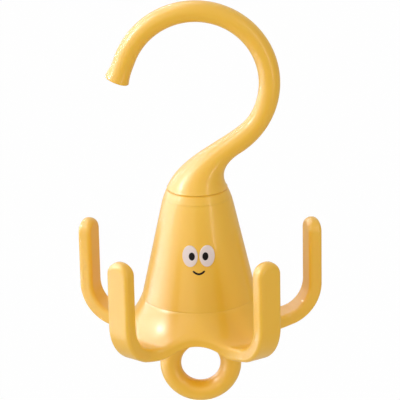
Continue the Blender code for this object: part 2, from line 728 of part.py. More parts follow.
def make_bottom_ring(parts, cutters, finish):
    ring = turned(
        "bottom_ring",
        [(0, PLATE_TOP_Z), (PLATE_RADIUS, PLATE_TOP_Z), (PLATE_RADIUS, PLATE_BOTTOM_Z), (0, PLATE_BOTTOM_Z)],
        parts,
        finish,
    )
    ring_top = RING_Z + RING_RADIUS
    neck = block(
        "ring_neck",
        (RING_NECK_LENGTH, RING_NECK_THICKNESS, PLATE_BOTTOM_Z - ring_top + PLATE_THICKNESS / 2),
        (0, 0, (PLATE_BOTTOM_Z + ring_top + PLATE_THICKNESS / 2) / 2),
        cutters,
    )
    rounding = neck.modifiers.new("Rounding", "BEVEL")
    rounding.width = RING_NECK_EDGE
    rounding.segments = 3
    boolean(ring, neck, "UNION")
    bpy.ops.mesh.primitive_torus_add(
        major_segments=40,
        minor_segments=16,
        major_radius=RING_RADIUS,
        minor_radius=RING_TUBE_RADIUS,
        location=(0, 0, RING_Z),
        rotation=(math.pi / 2, 0, 0),
    )
    torus = bpy.context.object
    torus.name = "ring_round"
    boolean(ring, cutter(torus, cutters), "UNION")
    seat = PLATE_BOTTOM_Z + PLATE_HEAD_HEIGHT + CLEARANCE
    for number, _angle, x, y in screw_places():
        hole = cylinder(
            f"plate_hole_{number}",
            PLATE_SCREW_RADIUS + CLEARANCE,
            PLATE_BOTTOM_Z - CUT_OVERRUN,
            PLATE_TOP_Z + CUT_OVERRUN,
            cutters,
            x,
            y,
        )
        boolean(ring, hole, "DIFFERENCE")
        counterbore = cylinder(
            f"counterbore_{number}", PLATE_HEAD_RADIUS + CLEARANCE, PLATE_BOTTOM_Z - CUT_OVERRUN, seat, cutters, x, y
        )
        boolean(ring, counterbore, "DIFFERENCE")


# Face

def wrapped(across, height, lift):
    """Points on the cone's front, from widths along its surface, heights, and heights above the surface."""
    radius = np.array([body_radius(level) for level in np.ravel(height)]).reshape(np.shape(height))
    angle = across / radius
    reach = radius + lift
    return np.stack([reach * np.sin(angle), -reach * np.cos(angle), height], axis=-1)


def make_oval(name, x, z, width, height, bottom, thickness, parts, finish):
    """A thin oval that lies on the cone, with a softly rounded front edge."""
    around = np.linspace(0, 2 * np.pi, SMALL_STEPS + 1)
    rows = []
    for share, lift in OVAL_RINGS:
        across = x + share * width / 2 * np.cos(around)
        level = z + share * height / 2 * np.sin(around)
        rows.append(wrapped(across, level, bottom + lift * thickness))
    closed_object(name, [np.array(rows)], parts, finish)


def make_smile(parts, finish):
    """A thin stroke along a shallow arc, with narrowing ends."""
    place = np.linspace(-1, 1, SMILE_POINTS)
    across = place * SMILE_WIDTH / 2
    level = EYE_Z - SMILE_DROP + SMILE_SAG * (place**2 - 1)
    slope = 2 * SMILE_SAG * place / (SMILE_WIDTH / 2)
    length = np.hypot(1, slope)
    half = SMILE_STROKE / 2 * np.clip(np.sqrt(1 - place**8), SMILE_END_SHARE, 1)
    rows = []
    for side, lift in ((-1, 0), (-1, 1), (1, 1), (1, 0), (-1, 0)):
        shift = side * half
        bottom = PRINT_GAP + lift * PRINT_THICKNESS
        rows.append(wrapped(across - shift * slope / length, level + shift / length, bottom))
    band = np.array(rows)
    ends = [np.array([[band[0, i], band[1, i]], [band[3, i], band[2, i]]]) for i in (0, -1)]
    closed_object("smile", [band] + ends, parts, finish)


def make_face(parts, finishes):
    for name, side in (("left", -1), ("right", 1)):
        x = side * EYE_SPACING / 2
        make_oval(
            f"eye_{name}", x, EYE_Z, EYE_WIDTH, EYE_HEIGHT, PRINT_GAP, EYE_THICKNESS, parts, finishes["eye_white"]
        )
        make_oval(
            f"pupil_{name}",
            x - side * PUPIL_SHIFT,
            EYE_Z,
            PUPIL_WIDTH,
            PUPIL_HEIGHT,
            EYE_THICKNESS + 2 * PRINT_GAP,
            PRINT_THICKNESS,
            parts,
            finishes["black_print"],
        )
    make_smile(parts, finishes["black_print"])


def main():
    for obj in list(bpy.data.objects):
        bpy.data.objects.remove(obj)
    parts = collection("Rotating closet hook")
    cutters = collection("Cutters")
    finishes = {
        "yellow": material("Yellow moulded plastic", (0.86, 0.51, 0.12), 0.25),
        "white_plastic": material("White bearing plastic", (0.85, 0.85, 0.83), 0.5),
        "steel": material("Zinc-plated steel", (0.62, 0.62, 0.6), 0.35, 1.0),
        "eye_white": material("White raised oval", (0.82, 0.78, 0.76), 0.3),
        "black_print": material("Black print", (0.02, 0.02, 0.02), 0.4),
    }
    make_hook(parts, finishes["yellow"])
    make_swivel(parts, finishes)
    make_screw(
        "pivot_screw",
        0,
        0,
        PIVOT_HEAD_TOP_Z,
        PIVOT_HEAD_RADIUS,
        PIVOT_HEAD_HEIGHT,
        PIVOT_SCREW_RADIUS,
        PIVOT_SCREW_LENGTH,
        (parts, cutters),
        finishes["steel"],
    )
    make_cone(parts, cutters, finishes["yellow"])
    make_arm_base(parts, cutters, finishes["yellow"])
    make_bottom_ring(parts, cutters, finishes["yellow"])
    head_top = PLATE_BOTTOM_Z + PLATE_HEAD_HEIGHT
    for number, _angle, x, y in screw_places():
        make_screw(
            f"plate_screw_{number}",
            x,
            y,
            head_top,
            PLATE_HEAD_RADIUS,
            PLATE_HEAD_HEIGHT,
            PLATE_SCREW_RADIUS,
            BOSS_BOTTOM_Z + PLATE_SCREW_REACH - head_top,
            (parts, cutters),
            finishes["steel"],
        )
    make_face(parts, finishes)


main()
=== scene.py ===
# %% [markdown]
# # A rotating closet hook in glossy yellow plastic
#
# The object is a storage hook that hangs on a closet rod. A round hook with a bell-shaped cap turns on a
# tapering body. The body stands on a skirt that runs out into five upturned arms, and a ring under the
# skirt takes the next hook. It is a smooth moulding, so almost everything that the eye sees is the run of
# its curves and the way that they gather light.
#
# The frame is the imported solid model. It gives the joint, the inner screws and washers, and the box that
# the finer surfaces have to keep to.

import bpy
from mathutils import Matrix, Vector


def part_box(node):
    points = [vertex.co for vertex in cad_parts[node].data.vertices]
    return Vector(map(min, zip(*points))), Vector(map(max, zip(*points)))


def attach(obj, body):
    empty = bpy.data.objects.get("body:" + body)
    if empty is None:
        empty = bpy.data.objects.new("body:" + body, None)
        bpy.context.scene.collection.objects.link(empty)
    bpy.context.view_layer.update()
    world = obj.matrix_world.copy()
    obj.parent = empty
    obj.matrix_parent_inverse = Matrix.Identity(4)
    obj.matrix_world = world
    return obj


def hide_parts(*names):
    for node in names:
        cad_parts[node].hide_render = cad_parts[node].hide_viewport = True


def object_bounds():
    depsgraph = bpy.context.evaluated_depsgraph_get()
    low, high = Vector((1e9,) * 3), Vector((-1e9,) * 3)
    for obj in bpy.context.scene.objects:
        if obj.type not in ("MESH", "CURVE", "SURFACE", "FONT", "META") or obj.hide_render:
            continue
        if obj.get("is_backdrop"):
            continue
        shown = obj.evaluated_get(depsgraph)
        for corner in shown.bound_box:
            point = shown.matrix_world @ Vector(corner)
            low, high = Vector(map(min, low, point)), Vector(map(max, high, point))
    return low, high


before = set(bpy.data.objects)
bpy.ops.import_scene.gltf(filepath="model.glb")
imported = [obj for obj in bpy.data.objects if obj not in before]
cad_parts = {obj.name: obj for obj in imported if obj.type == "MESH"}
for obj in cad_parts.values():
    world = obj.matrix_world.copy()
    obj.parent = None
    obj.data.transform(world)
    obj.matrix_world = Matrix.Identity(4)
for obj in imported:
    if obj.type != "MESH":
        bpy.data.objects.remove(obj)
cad_low, cad_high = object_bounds()
print("nodes:", ", ".join(sorted(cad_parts)))
print("box in mm:", [round(1000 * (high - low), 1) for low, high in zip(cad_low, cad_high)])

# %% [markdown]
# ## From formula to mesh
#
# Every new surface below is a grid of points: a shape worked out from two parameters, one along the rows
# and one along the columns. Modelling such a moulding by hand with subdivision would also work, but a
# formula keeps the circles round and the sides straight, and the same numbers can be checked with a ruler.
# One helper turns grids into a mesh. Neighbouring points make the faces, and borders that meet are welded.

# %% Grids of points become one mesh
import math

import bmesh
import bpy
import numpy as np
from mathutils import Matrix

MM = 0.001
WELD = 0.002 * MM  # points closer than this are one
CREASE = math.radians(40)  # faces that meet at more than this have a sharp edge


def grid_mesh(name, grids):
    """A mesh whose faces join each grid's neighbouring points, with shared borders and poles welded."""
    points, quads, count = [], [], 0
    for grid in grids:
        rows, columns = grid.shape[:2]
        index = count + np.arange(rows * columns).reshape(rows, columns)
        corners = (index[:-1, :-1], index[:-1, 1:], index[1:, 1:], index[1:, :-1])
        quads.append(np.stack(corners, axis=-1).reshape(-1, 4))
        points.append(grid.reshape(-1, 3))
        count += rows * columns
    quads = np.vstack(quads)
    mesh = bpy.data.meshes.new(name)
    mesh.vertices.add(count)
    mesh.vertices.foreach_set("co", np.vstack(points).astype(np.float32).ravel())
    mesh.loops.add(quads.size)
    mesh.loops.foreach_set("vertex_index", quads.ravel().astype(np.int32))
    mesh.polygons.add(len(quads))
    mesh.polygons.foreach_set("loop_start", np.arange(0, quads.size, 4, dtype=np.int32))
    mesh.update(calc_edges=True)
    work = bmesh.new()
    work.from_mesh(mesh)
    bmesh.ops.remove_doubles(work, verts=work.verts, dist=WELD)
    bmesh.ops.recalc_face_normals(work, faces=work.faces)
    open_edges = sum(len(edge.link_faces) != 2 for edge in work.edges)
    work.to_mesh(mesh)
    work.free()
    mesh.shade_smooth()
    mesh.set_sharp_from_angle(angle=CREASE)
    print(f"{name}: {len(mesh.polygons)} faces, {open_edges} open edges")
    return mesh


def piece(name, grids, body, replaced, finish):
    """Makes an object from grids, which rides on a body and stands for the solids that it replaces."""
    obj = bpy.data.objects.new(name, grid_mesh(name, grids))
    bpy.context.scene.collection.objects.link(obj)
    obj.data.materials.append(finish)
    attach(obj, body)
    if replaced:
        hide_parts(*replaced)


# %% Curves that the pieces share
def bezier(points, share):
    """A cubic curve: the sum of the four points, weighted by (1-t)^3, 3t(1-t)^2, 3t^2(1-t) and t^3."""
    a, b, c, d = (np.asarray(point, float) for point in points)
    t = np.atleast_1d(share)[:, None]
    return (1 - t) ** 3 * a + 3 * t * (1 - t) ** 2 * b + 3 * t**2 * (1 - t) * c + t**3 * d


def smooth(low, high, value):
    """Nought below low, one above high, and 3t^2 - 2t^3 of the share of the way between."""
    t = np.clip((value - low) / (high - low), 0, 1)
    return t * t * (3 - 2 * t)


def rounded(corners, radii, steps=6):
    """A closed outline with eased corners: at each, a quadratic curve of one radius to each side."""
    corners = np.asarray(corners, float)
    before = np.roll(corners, 1, axis=0) - corners
    after = np.roll(corners, -1, axis=0) - corners
    radii = np.asarray(radii, float)[:, None]
    start = corners + before * radii / np.linalg.norm(before, axis=1, keepdims=True)
    end = corners + after * radii / np.linalg.norm(after, axis=1, keepdims=True)
    t = np.linspace(0, 1, steps + 1)[None, :, None]
    arcs = (1 - t) ** 2 * start[:, None] + 2 * t * (1 - t) * corners[:, None] + t**2 * end[:, None]
    line = arcs.reshape(-1, 2)
    return np.vstack([line, line[:1]])


def revolved(profile, steps=160):
    """A surface of revolution: (r, z) goes to (r cos a, r sin a, z) for each angle a of a full turn."""
    turn = np.linspace(0, 2 * np.pi, steps + 1)
    radius, height = profile[:, :1], profile[:, 1:] + 0 * turn
    return np.stack([radius * np.cos(turn), radius * np.sin(turn), height], -1)


# %% [markdown]
# ## The camera
#
# The photograph looks down on the hook by 18.3 degrees, from a little over a metre away, with a long lens
# and the picture turned by 1.2 degrees. The camera's own axes are written out: to the right, up, and back
# towards the eye. The turn mixes the first two.

# %% Camera
LOOK_DOWN = math.radians(18.3)
ROLL = math.radians(1.18)
DISTANCE = 1092.5 * MM
AIM = np.array([1.21, 0.0, -87.0]) * MM
LENS = 207.0  # in millimetres of the camera's own, like the sensor's width
SENSOR_WIDTH = 36.0


def placed(position, *axes):
    """The matrix of an object at a position, whose own x, y and z run along the three axes."""
    return Matrix.Translation(position) @ Matrix(np.column_stack(axes).tolist()).to_4x4()


right = np.array([1.0, 0.0, 0.0])
up = np.array([0.0, math.sin(LOOK_DOWN), math.cos(LOOK_DOWN)])
back = np.array([0.0, -math.cos(LOOK_DOWN), math.sin(LOOK_DOWN)])
right, up = right * math.cos(ROLL) - up * math.sin(ROLL), up * math.cos(ROLL) + right * math.sin(ROLL)
camera = bpy.data.objects.new("camera", bpy.data.cameras.new("camera"))
camera.data.sensor_width = SENSOR_WIDTH
camera.data.lens = LENS
camera.data.clip_start = 0.05
camera.data.clip_end = 20.0
camera.matrix_world = placed(AIM + DISTANCE * back, right, up, back)
bpy.context.scene.collection.objects.link(camera)
bpy.context.scene.camera = camera
print("camera at", [round(value, 3) for value in camera.matrix_world.translation])

# %% [markdown]
# ## The studio
#
# The hook hangs in front of a plain pale floor. Even light comes from all round, and two large soft key
# lamps, the stronger one from the left and the other nearly from the front, give the round forms their
# shade. A tall narrow strip on the right throws the soft shadow of the front right arm on the body. That
# light makes the colour.
#
# But a glossy moulding also mirrors what stands round it, and most of what tells the eye "gloss" is where
# the bright things are. A wide pale wall behind on the left gives all left rims their sheen, a small window
# with a bright core the white spot on the skirt, a low panel the light under the arms, and the warm core of
# the strip the thin line down the right of the body. These are seen in the gloss alone, as a photographer's
# white cards are, so that they can be tuned without changing the colours. The same holds for the sky, which
# looks brighter in the gloss on the left and above. The camera sees floor and sky as plain white by way of
# the Light Path node.


# %% Small helpers for nodes and colours
def node(tree, kind, settings=None, **values):
    """A shader node of a kind, with its settings and the values of its named inputs."""
    made = tree.nodes.new("ShaderNode" + kind)
    for key, value in (settings or {}).items():
        setattr(made, key, value)
    for key, value in values.items():
        made.inputs[key.replace("_", " ")].default_value = value
    return made


def sums(tree, operation, **settings):
    """A Math node that does one operation."""
    return node(tree, "Math", {"operation": operation, **settings})


def srgb(red, green, blue):
    """The linear colour of an 8-bit screen colour: c/12.92 below 0.04045, else ((c+0.055)/1.055)^2.4."""
    c = np.array([red, green, blue]) / 255
    return (*np.where(c <= 0.04045, c / 12.92, ((c + 0.055) / 1.055) ** 2.4), 1.0)


def wire(tree, *links):
    """Links nodes of a tree: each link gives a node, its output, the next node and that one's input."""
    for source, output, target, entry in links:
        tree.links.new(source.outputs[output], target.inputs[entry])


# %% Sky
SKY_COLOR = srgb(255, 252, 250)
SKY_LIGHT = 0.56
SKY_SHEEN = 1.0  # how bright the sky looks in the gloss, at its low middle
SHEEN_TOP = 0.9  # what the top adds
SHEEN_SIDE = 0.5  # what the left adds and the right takes away
SHEEN_HEIGHT = 0.95  # of a view's direction, where all of the top's part is added

world = bpy.data.worlds.new("studio")
world.use_nodes = True
world.cycles.sampling_method = "NONE"  # the sky is found by chance rays alone, which is calmer in the gloss
bpy.context.scene.world = world
tree = world.node_tree
tree.nodes.clear()
place = node(tree, "TexCoord")
part = node(tree, "SeparateXYZ")
spread = {"From_Max": SHEEN_HEIGHT, "To_Min": SKY_SHEEN, "To_Max": SKY_SHEEN + SHEEN_TOP}
rise = node(tree, "MapRange", {"interpolation_type": "SMOOTHSTEP"}, **spread)
aside = sums(tree, "MULTIPLY_ADD")
aside.inputs[1].default_value = -SHEEN_SIDE
even = node(tree, "Background", Color=SKY_COLOR, Strength=SKY_LIGHT)
sheen = node(tree, "Background", Color=SKY_COLOR)
white = node(tree, "Background", Color=(1, 1, 1, 1), Strength=1.0)
seen = node(tree, "LightPath")
lit = node(tree, "MixShader")
both = node(tree, "MixShader")
out = node(tree, "OutputWorld")
wire(
    tree,
    (place, "Generated", part, 0),
    (part, "Z", rise, "Value"),
    (part, "X", aside, 0),
    (rise, "Result", aside, 2),
    (aside, 0, sheen, "Strength"),
    (seen, "Is Glossy Ray", lit, "Fac"),
    (even, 0, lit, 1),
    (sheen, 0, lit, 2),
    (seen, "Is Camera Ray", both, "Fac"),
    (lit, 0, both, 1),
    (white, 0, both, 2),
    (both, 0, out, "Surface"),
)
bpy.context.scene.view_settings.view_transform = "Standard"

# %% Lamps
MIDDLE = np.array([0.0, 0.0, -0.10])


def soft_box(name, turn, rise, away, width, height, glow, color=(1, 1, 1), seen_in="both"):
    """A rectangular lamp that faces the hook's middle, turned from the front (left is minus) and raised.

    A lamp of power P and area A glows with P / (pi A), so its power is worked out from the glow. It is
    seen in both kinds of light, in the gloss alone or in the matt alone. One for the gloss alone is only
    sampled as a lamp, because rays that find it by chance mix the two kinds.
    """
    turn, rise = math.radians(turn), math.radians(rise)
    z = np.array([math.sin(turn) * math.cos(rise), -math.cos(turn) * math.cos(rise), math.sin(rise)])
    x = np.cross((0, 0, 1), z)
    x = x / np.linalg.norm(x)
    lamp = bpy.data.lights.new(name, "AREA")
    lamp.shape = "RECTANGLE"
    lamp.size, lamp.size_y = width, height
    lamp.energy = glow * math.pi * width * height
    lamp.color = color
    lamp.cycles.use_multiple_importance_sampling = seen_in != "gloss"
    obj = bpy.data.objects.new(name, lamp)
    obj.visible_camera = False
    obj.visible_diffuse = seen_in != "gloss"
    obj.visible_glossy = seen_in != "matt"
    obj.matrix_world = placed(MIDDLE + away * z, x, np.cross(z, x), z)
    bpy.context.scene.collection.objects.link(obj)
    print(f"{name}: {lamp.energy:.1f} W")


# in each: turn and rise in degrees, distance, width and height in metres, and the glow
soft_box("side_key", -75, 25, 1.5, 1.2, 1.2, 1.6)
soft_box("front_key", -30, 13, 1.5, 1.2, 1.2, 0.85)
soft_box("strip", 48, 6, 1.0, 0.16, 1.1, 2.0, seen_in="matt")
soft_box("strip_core", 42, 10, 1.0, 0.11, 1.0, 7.0, (1.0, 0.85, 0.77), seen_in="gloss")
soft_box("wall", -108, 36, 1.0, 1.5, 2.3, 3.7, seen_in="gloss")
soft_box("window", -78, 31, 1.0, 0.5, 0.45, 3.0, seen_in="gloss")
soft_box("window_core", -78, 31, 1.0, 0.18, 0.15, 40.0, seen_in="gloss")
soft_box("low_panel", -80, -22, 1.0, 1.2, 0.6, 3.0, seen_in="gloss")

# %% Floor
FLOOR_Z = -1.0
FLOOR_HALF = 6.0
FLOOR_COLOR = srgb(249, 248, 246)
WHITE_SHARE = 0.985  # of what the camera sees of the floor, the rest is lit and keeps the shadow

ends = np.array([-FLOOR_HALF, FLOOR_HALF])
across, along = np.meshgrid(ends, ends)
floor_mesh = grid_mesh("floor", [np.stack([across, along, np.full((2, 2), FLOOR_Z)], -1)])
floor = bpy.data.objects.new("floor", floor_mesh)
bpy.context.scene.collection.objects.link(floor)
pale = bpy.data.materials.new("pale floor")
pale.use_nodes = True
tree = pale.node_tree
tree.nodes.clear()
matt = node(tree, "BsdfDiffuse", Color=FLOOR_COLOR)
glow = node(tree, "Emission", Color=(1, 1, 1, 1), Strength=1.0)
seen = node(tree, "LightPath")
share = sums(tree, "MULTIPLY")
share.inputs[1].default_value = WHITE_SHARE
both = node(tree, "MixShader")
out = node(tree, "OutputMaterial")
wire(
    tree,
    (seen, "Is Camera Ray", share, 0),
    (share, 0, both, "Fac"),
    (matt, 0, both, 1),
    (glow, 0, both, 2),
    (both, 0, out, "Surface"),
)
floor.data.materials.append(pale)
floor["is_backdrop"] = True

# %% [markdown]
# ## Finishes
#
# The yellow pieces are glossy plastic, coloured all through. Close up such a moulding isn't even: the melt
# has flowed, so the tone drifts by a few percent over centimetres, the skin has a very fine ripple, and
# handling leaves hair-thin scratches and a few specks of dust that dull the gloss. Each of these effects is
# a node group with its own inputs, and each material sets its own amounts. All patterns are measured in
# metres in object space, so that they sit still on the pieces.


# %% Node groups
FLOAT = "NodeSocketFloat"
COLOR = "NodeSocketColor"
SCRATCH_TURNS = (0.4, 1.9)  # the two ways of the scratches, in radians
SCRATCH_SCALE = (60, 900, 2500)  # noise cells in a metre, few along a scratch and many across it


def group(name, inputs, outputs):
    """An empty shader group with named sockets. Gives the group, its input node and its output node."""
    made = bpy.data.node_groups.new(name, "ShaderNodeTree")
    for label, kind, value in inputs:
        socket = made.interface.new_socket(label, in_out="INPUT", socket_type=kind)
        socket.default_value = value
    for label, kind in outputs:
        made.interface.new_socket(label, in_out="OUTPUT", socket_type=kind)
    return made, made.nodes.new("NodeGroupInput"), made.nodes.new("NodeGroupOutput")


def melt_tone():
    """Colour that drifts between two tones with a slow noise, as where the melt has flowed."""
    made, given, gives = group(
        "melt tone",
        [
            ("Tone", COLOR, (0.8, 0.8, 0.8, 1)),
            ("Deeper", COLOR, (0.7, 0.7, 0.7, 1)),
            ("Scale", FLOAT, 30.0),
            ("Amount", FLOAT, 0.5),
        ],
        [("Color", COLOR)],
    )
    place = node(made, "TexCoord")
    noise = node(made, "TexNoise", Detail=3.0, Roughness=0.5, Distortion=0.6)
    amount = sums(made, "MULTIPLY")
    mix = node(made, "Mix", {"data_type": "RGBA"})
    wire(
        made,
        (place, "Object", noise, "Vector"),
        (given, "Scale", noise, "Scale"),
        (noise, "Fac", amount, 0),
        (given, "Amount", amount, 1),
        (amount, 0, mix, "Factor"),
        (given, "Tone", mix, "A"),
        (given, "Deeper", mix, "B"),
        (mix, "Result", gives, "Color"),
    )
    return made


def handled_gloss():
    """Roughness of a handled surface: a base value, raised on hair-thin scratches and on specks of dust."""
    made, given, gives = group(
        "handled gloss",
        [
            ("Gloss", FLOAT, 0.2),
            ("Scratches", FLOAT, 0.1),
            ("Dust", FLOAT, 0.2),
        ],
        [("Roughness", FLOAT), ("Dust", FLOAT)],
    )
    place = node(made, "TexCoord")
    total = (given, "Gloss")
    for turn in SCRATCH_TURNS:
        tilt = node(made, "Mapping", Rotation=(turn, turn / 2, turn / 3), Scale=SCRATCH_SCALE)
        hair = node(made, "TexNoise", Scale=1.0, Detail=1.0)
        thin = node(made, "MapRange", From_Min=0.66, From_Max=0.72)
        add = sums(made, "MULTIPLY_ADD")
        wire(
            made,
            (place, "Object", tilt, "Vector"),
            (tilt, 0, hair, "Vector"),
            (hair, "Fac", thin, "Value"),
            (thin, "Result", add, 0),
            (given, "Scratches", add, 1),
            (*total, add, 2),
        )
        total = (add, 0)
    cells = node(made, "TexVoronoi", Scale=420.0)
    speck = node(made, "MapRange", From_Min=0.10, From_Max=0.05)
    where = node(made, "TexNoise", Scale=45.0, Detail=2.0)
    few = node(made, "MapRange", From_Min=0.52, From_Max=0.62)
    both = sums(made, "MULTIPLY")
    dust = sums(made, "MULTIPLY")
    sum_up = sums(made, "ADD", use_clamp=True)
    wire(
        made,
        (place, "Object", cells, "Vector"),
        (place, "Object", where, "Vector"),
        (cells, "Distance", speck, "Value"),
        (where, "Fac", few, "Value"),
        (speck, "Result", both, 0),
        (few, "Result", both, 1),
        (both, 0, dust, 0),
        (given, "Dust", dust, 1),
        (dust, 0, sum_up, 0),
        (*total, sum_up, 1),
        (sum_up, 0, gives, "Roughness"),
        (dust, 0, gives, "Dust"),
    )
    return made


def skin_ripple():
    """A bump from two noises: a ripple of a few millimetres and a fine orange peel."""
    made, given, gives = group(
        "skin ripple",
        [
            ("Ripple", FLOAT, 0.01),
            ("Peel", FLOAT, 0.01),
            ("Peel Scale", FLOAT, 1500.0),
        ],
        [("Normal", "NodeSocketVector")],
    )
    place = node(made, "TexCoord")
    wide = node(made, "TexNoise", Scale=160.0, Detail=2.0)
    fine = node(made, "TexNoise", Detail=3.0)
    first = sums(made, "MULTIPLY")
    second = sums(made, "MULTIPLY_ADD")
    bump = node(made, "Bump", Distance=0.001, Strength=1.0)
    wire(
        made,
        (place, "Object", wide, "Vector"),
        (place, "Object", fine, "Vector"),
        (given, "Peel Scale", fine, "Scale"),
        (wide, "Fac", first, 0),
        (given, "Ripple", first, 1),
        (fine, "Fac", second, 0),
        (given, "Peel", second, 1),
        (first, 0, second, 2),
        (second, 0, bump, "Height"),
        (bump, "Normal", gives, "Normal"),
    )
    return made


MELT_TONE, HANDLED_GLOSS, SKIN_RIPPLE = melt_tone(), handled_gloss(), skin_ripple()
print("groups:", ", ".join(sorted(made.name for made in bpy.data.node_groups)))


# %% One builder for all finishes
DUST_COLOR = srgb(225, 220, 212)
TONE_DRIFT = 0.8  # how far the melt's noise takes a colour from its tone to its deeper one


def use(tree, made, **values):
    """A node group placed in a material's tree, with the values of its named inputs."""
    return node(tree, "Group", {"node_tree": made}, **values)


def finish(name, tone, deeper, gloss, scratches, dust, ripple, peel, peel_scale=1500.0, scale=30.0, **even):
    """A Principled material fed by the three groups. Values that are even all over go straight in."""
    made = bpy.data.materials.new(name)
    made.use_nodes = True
    tree = made.node_tree
    shader = tree.nodes["Principled BSDF"]
    for key, value in even.items():
        shader.inputs[key.replace("_", " ")].default_value = value
    color = use(tree, MELT_TONE, Tone=tone, Deeper=deeper, Scale=scale, Amount=TONE_DRIFT)
    rough = use(tree, HANDLED_GLOSS, Gloss=gloss, Scratches=scratches, Dust=dust)
    skin = use(tree, SKIN_RIPPLE, Ripple=ripple, Peel=peel, Peel_Scale=peel_scale)
    pale = node(tree, "Mix", {"data_type": "RGBA"})
    pale.inputs["B"].default_value = DUST_COLOR
    wire(
        tree,
        (rough, "Dust", pale, "Factor"),
        (color, "Color", pale, "A"),
        (pale, "Result", shader, "Base Color"),
        (rough, "Roughness", shader, "Roughness"),
        (skin, "Normal", shader, "Normal"),
    )
    return made


YELLOW = finish(
    "Yellow moulded plastic",
    tone=srgb(247, 193, 50),
    deeper=srgb(243, 187, 43),
    gloss=0.45,
    scratches=0.03,
    dust=0.06,
    ripple=0.0008,
    peel=0.0003,
    IOR=1.5,
    Coat_Weight=0.4,
    Coat_Roughness=0.17,
    Subsurface_Weight=0.15,
    Subsurface_Radius=(1.0, 0.5, 0.1),
    Subsurface_Scale=0.0025,
)
EYE_WHITE = finish(
    "White raised oval",
    tone=srgb(236, 222, 217),
    deeper=srgb(229, 213, 207),
    gloss=0.3,
    scratches=0.05,
    dust=0.1,
    ripple=0.01,
    peel=0.004,
)
BLACK_PRINT = finish(
    "Black print",
    tone=srgb(12, 8, 7),
    deeper=srgb(20, 13, 12),
    Specular_IOR_Level=0.1,
    gloss=0.5,
    scratches=0.08,
    dust=0.06,
    ripple=0.0,
    peel=0.012,
    peel_scale=4000.0,
)
BEARING_WHITE = finish(
    "White bearing plastic",
    tone=srgb(236, 236, 232),
    deeper=srgb(224, 224, 219),
    gloss=0.48,
    scratches=0.1,
    dust=0.1,
    ripple=0.01,
    peel=0.02,
)
ZINC = finish(
    "Zinc-plated steel",
    tone=srgb(203, 204, 206),
    deeper=srgb(176, 178, 182),
    gloss=0.3,
    scratches=0.25,
    dust=0.1,
    ripple=0.01,
    peel=0.02,
    scale=400.0,
    Metallic=1.0,
)
print("materials:", ", ".join(sorted(made.name for made in bpy.data.materials)))


# %% [markdown]
# ## The levels
#
# The hook hangs by the top of its inner side, and that point is the origin. From there down come the
# middle of the hook's round, the groove at which it turns, the lower seam where the body meets the skirt,
# the lowest line of the trough and the middle of the ring.

# %% Levels and the body's outline
ROD_RADIUS = 5.05 * MM
HOOK_RADIUS = 34.8 * MM
NECK_DROP = 51.0 * MM
BODY_HEIGHT = 53.4 * MM
CAP_RADIUS = 14.4 * MM
SEAM_RADIUS = 27.45 * MM
TAPER_SHARE = 0.2255
SHOULDER_DROP = 7.4 * MM
GROOVE_GAP = 0.6 * MM
CLEARANCE = 0.3 * MM
HOOK_Z = ROD_RADIUS - HOOK_RADIUS
GROOVE_Z = HOOK_Z - NECK_DROP
SEAM_Z = GROOVE_Z - BODY_HEIGHT
CAP_BOTTOM_Z = GROOVE_Z + GROOVE_GAP / 2


def body_radius(height):
    """The body's radius: it falls evenly with height, and by a square law more above the shoulder."""
    straight = SEAM_RADIUS - TAPER_SHARE * (height - SEAM_Z)
    excess = SEAM_RADIUS - TAPER_SHARE * BODY_HEIGHT - CAP_RADIUS
    rise = np.clip(height - (GROOVE_Z - SHOULDER_DROP), 0, None) / SHOULDER_DROP
    return straight - excess * rise**2


print("levels in mm:", [round(1000 * z, 2) for z in (HOOK_Z, GROOVE_Z, SEAM_Z)])

# %% [markdown]
# ## The hook
#
# One moulding from the flared tip over the round to the bell-shaped cap. It is made as a row of round
# sections, each with a centre and a half width in the hook's plane. On the round the sections stand on a
# circle. Down the neck, each spans from the inner to the outer side, two cubic curves that were laid on
# the outline. A swept curve with a radius would be simpler but can't lean its sections as the cap needs.

# %% Sides of the swan neck
NECK_INNER_ANGLE = math.radians(-32.6)
NECK_OUTER_ANGLE = math.radians(-58.6)
NECK_INNER_LEAN = math.radians(21.8)
NECK_OUTER_LEAN = math.radians(29.5)
NECK_INNER_SHARES = (0.235, 0.350)  # of the drop, the curve's handles at the round and at the cap
NECK_OUTER_SHARES = (0.143, 0.161)
NECK_ROUND_SHARE = 0.43  # of the neck's sections, those whose outer side is still round


def on_round(radius, angle):
    """The point of the hook's plane at that radius and angle about the middle of the round."""
    return np.stack([radius * np.cos(angle), HOOK_Z + radius * np.sin(angle)], -1)


def onward(angle):
    """The way along the round, clockwise."""
    return np.array([math.sin(angle), -math.cos(angle)])


def neck_side(radius, angle, side, lean, shares, places):
    """A cubic curve from a point of the round to the cap's rim, where it leans inwards from upright."""
    start, end = on_round(radius, angle), np.array([side * CAP_RADIUS, CAP_BOTTOM_Z])
    inwards = np.array([-side * math.sin(lean), math.cos(lean)])
    handles = start + shares[0] * NECK_DROP * onward(angle), end + shares[1] * NECK_DROP * inwards
    return bezier((start, *handles, end), places)


def neck_sides(share):
    """Inner and outer side at each share. The outer one first follows the round, and then its curve."""
    inner_radius, outer_radius = HOOK_RADIUS - ROD_RADIUS, HOOK_RADIUS + ROD_RADIUS
    inner = neck_side(inner_radius, NECK_INNER_ANGLE, -1, NECK_INNER_LEAN, NECK_INNER_SHARES, share)
    later = np.clip((share - NECK_ROUND_SHARE) / (1 - NECK_ROUND_SHARE), 0, 1)
    outer = neck_side(outer_radius, NECK_OUTER_ANGLE, 1, NECK_OUTER_LEAN, NECK_OUTER_SHARES, later)
    part = np.clip(share / NECK_ROUND_SHARE, 0, 1)
    angle = NECK_INNER_ANGLE + part * (NECK_OUTER_ANGLE - NECK_INNER_ANGLE)
    still_round = (share < NECK_ROUND_SHARE)[:, None]
    return inner, np.where(still_round, on_round(outer_radius, angle), outer)


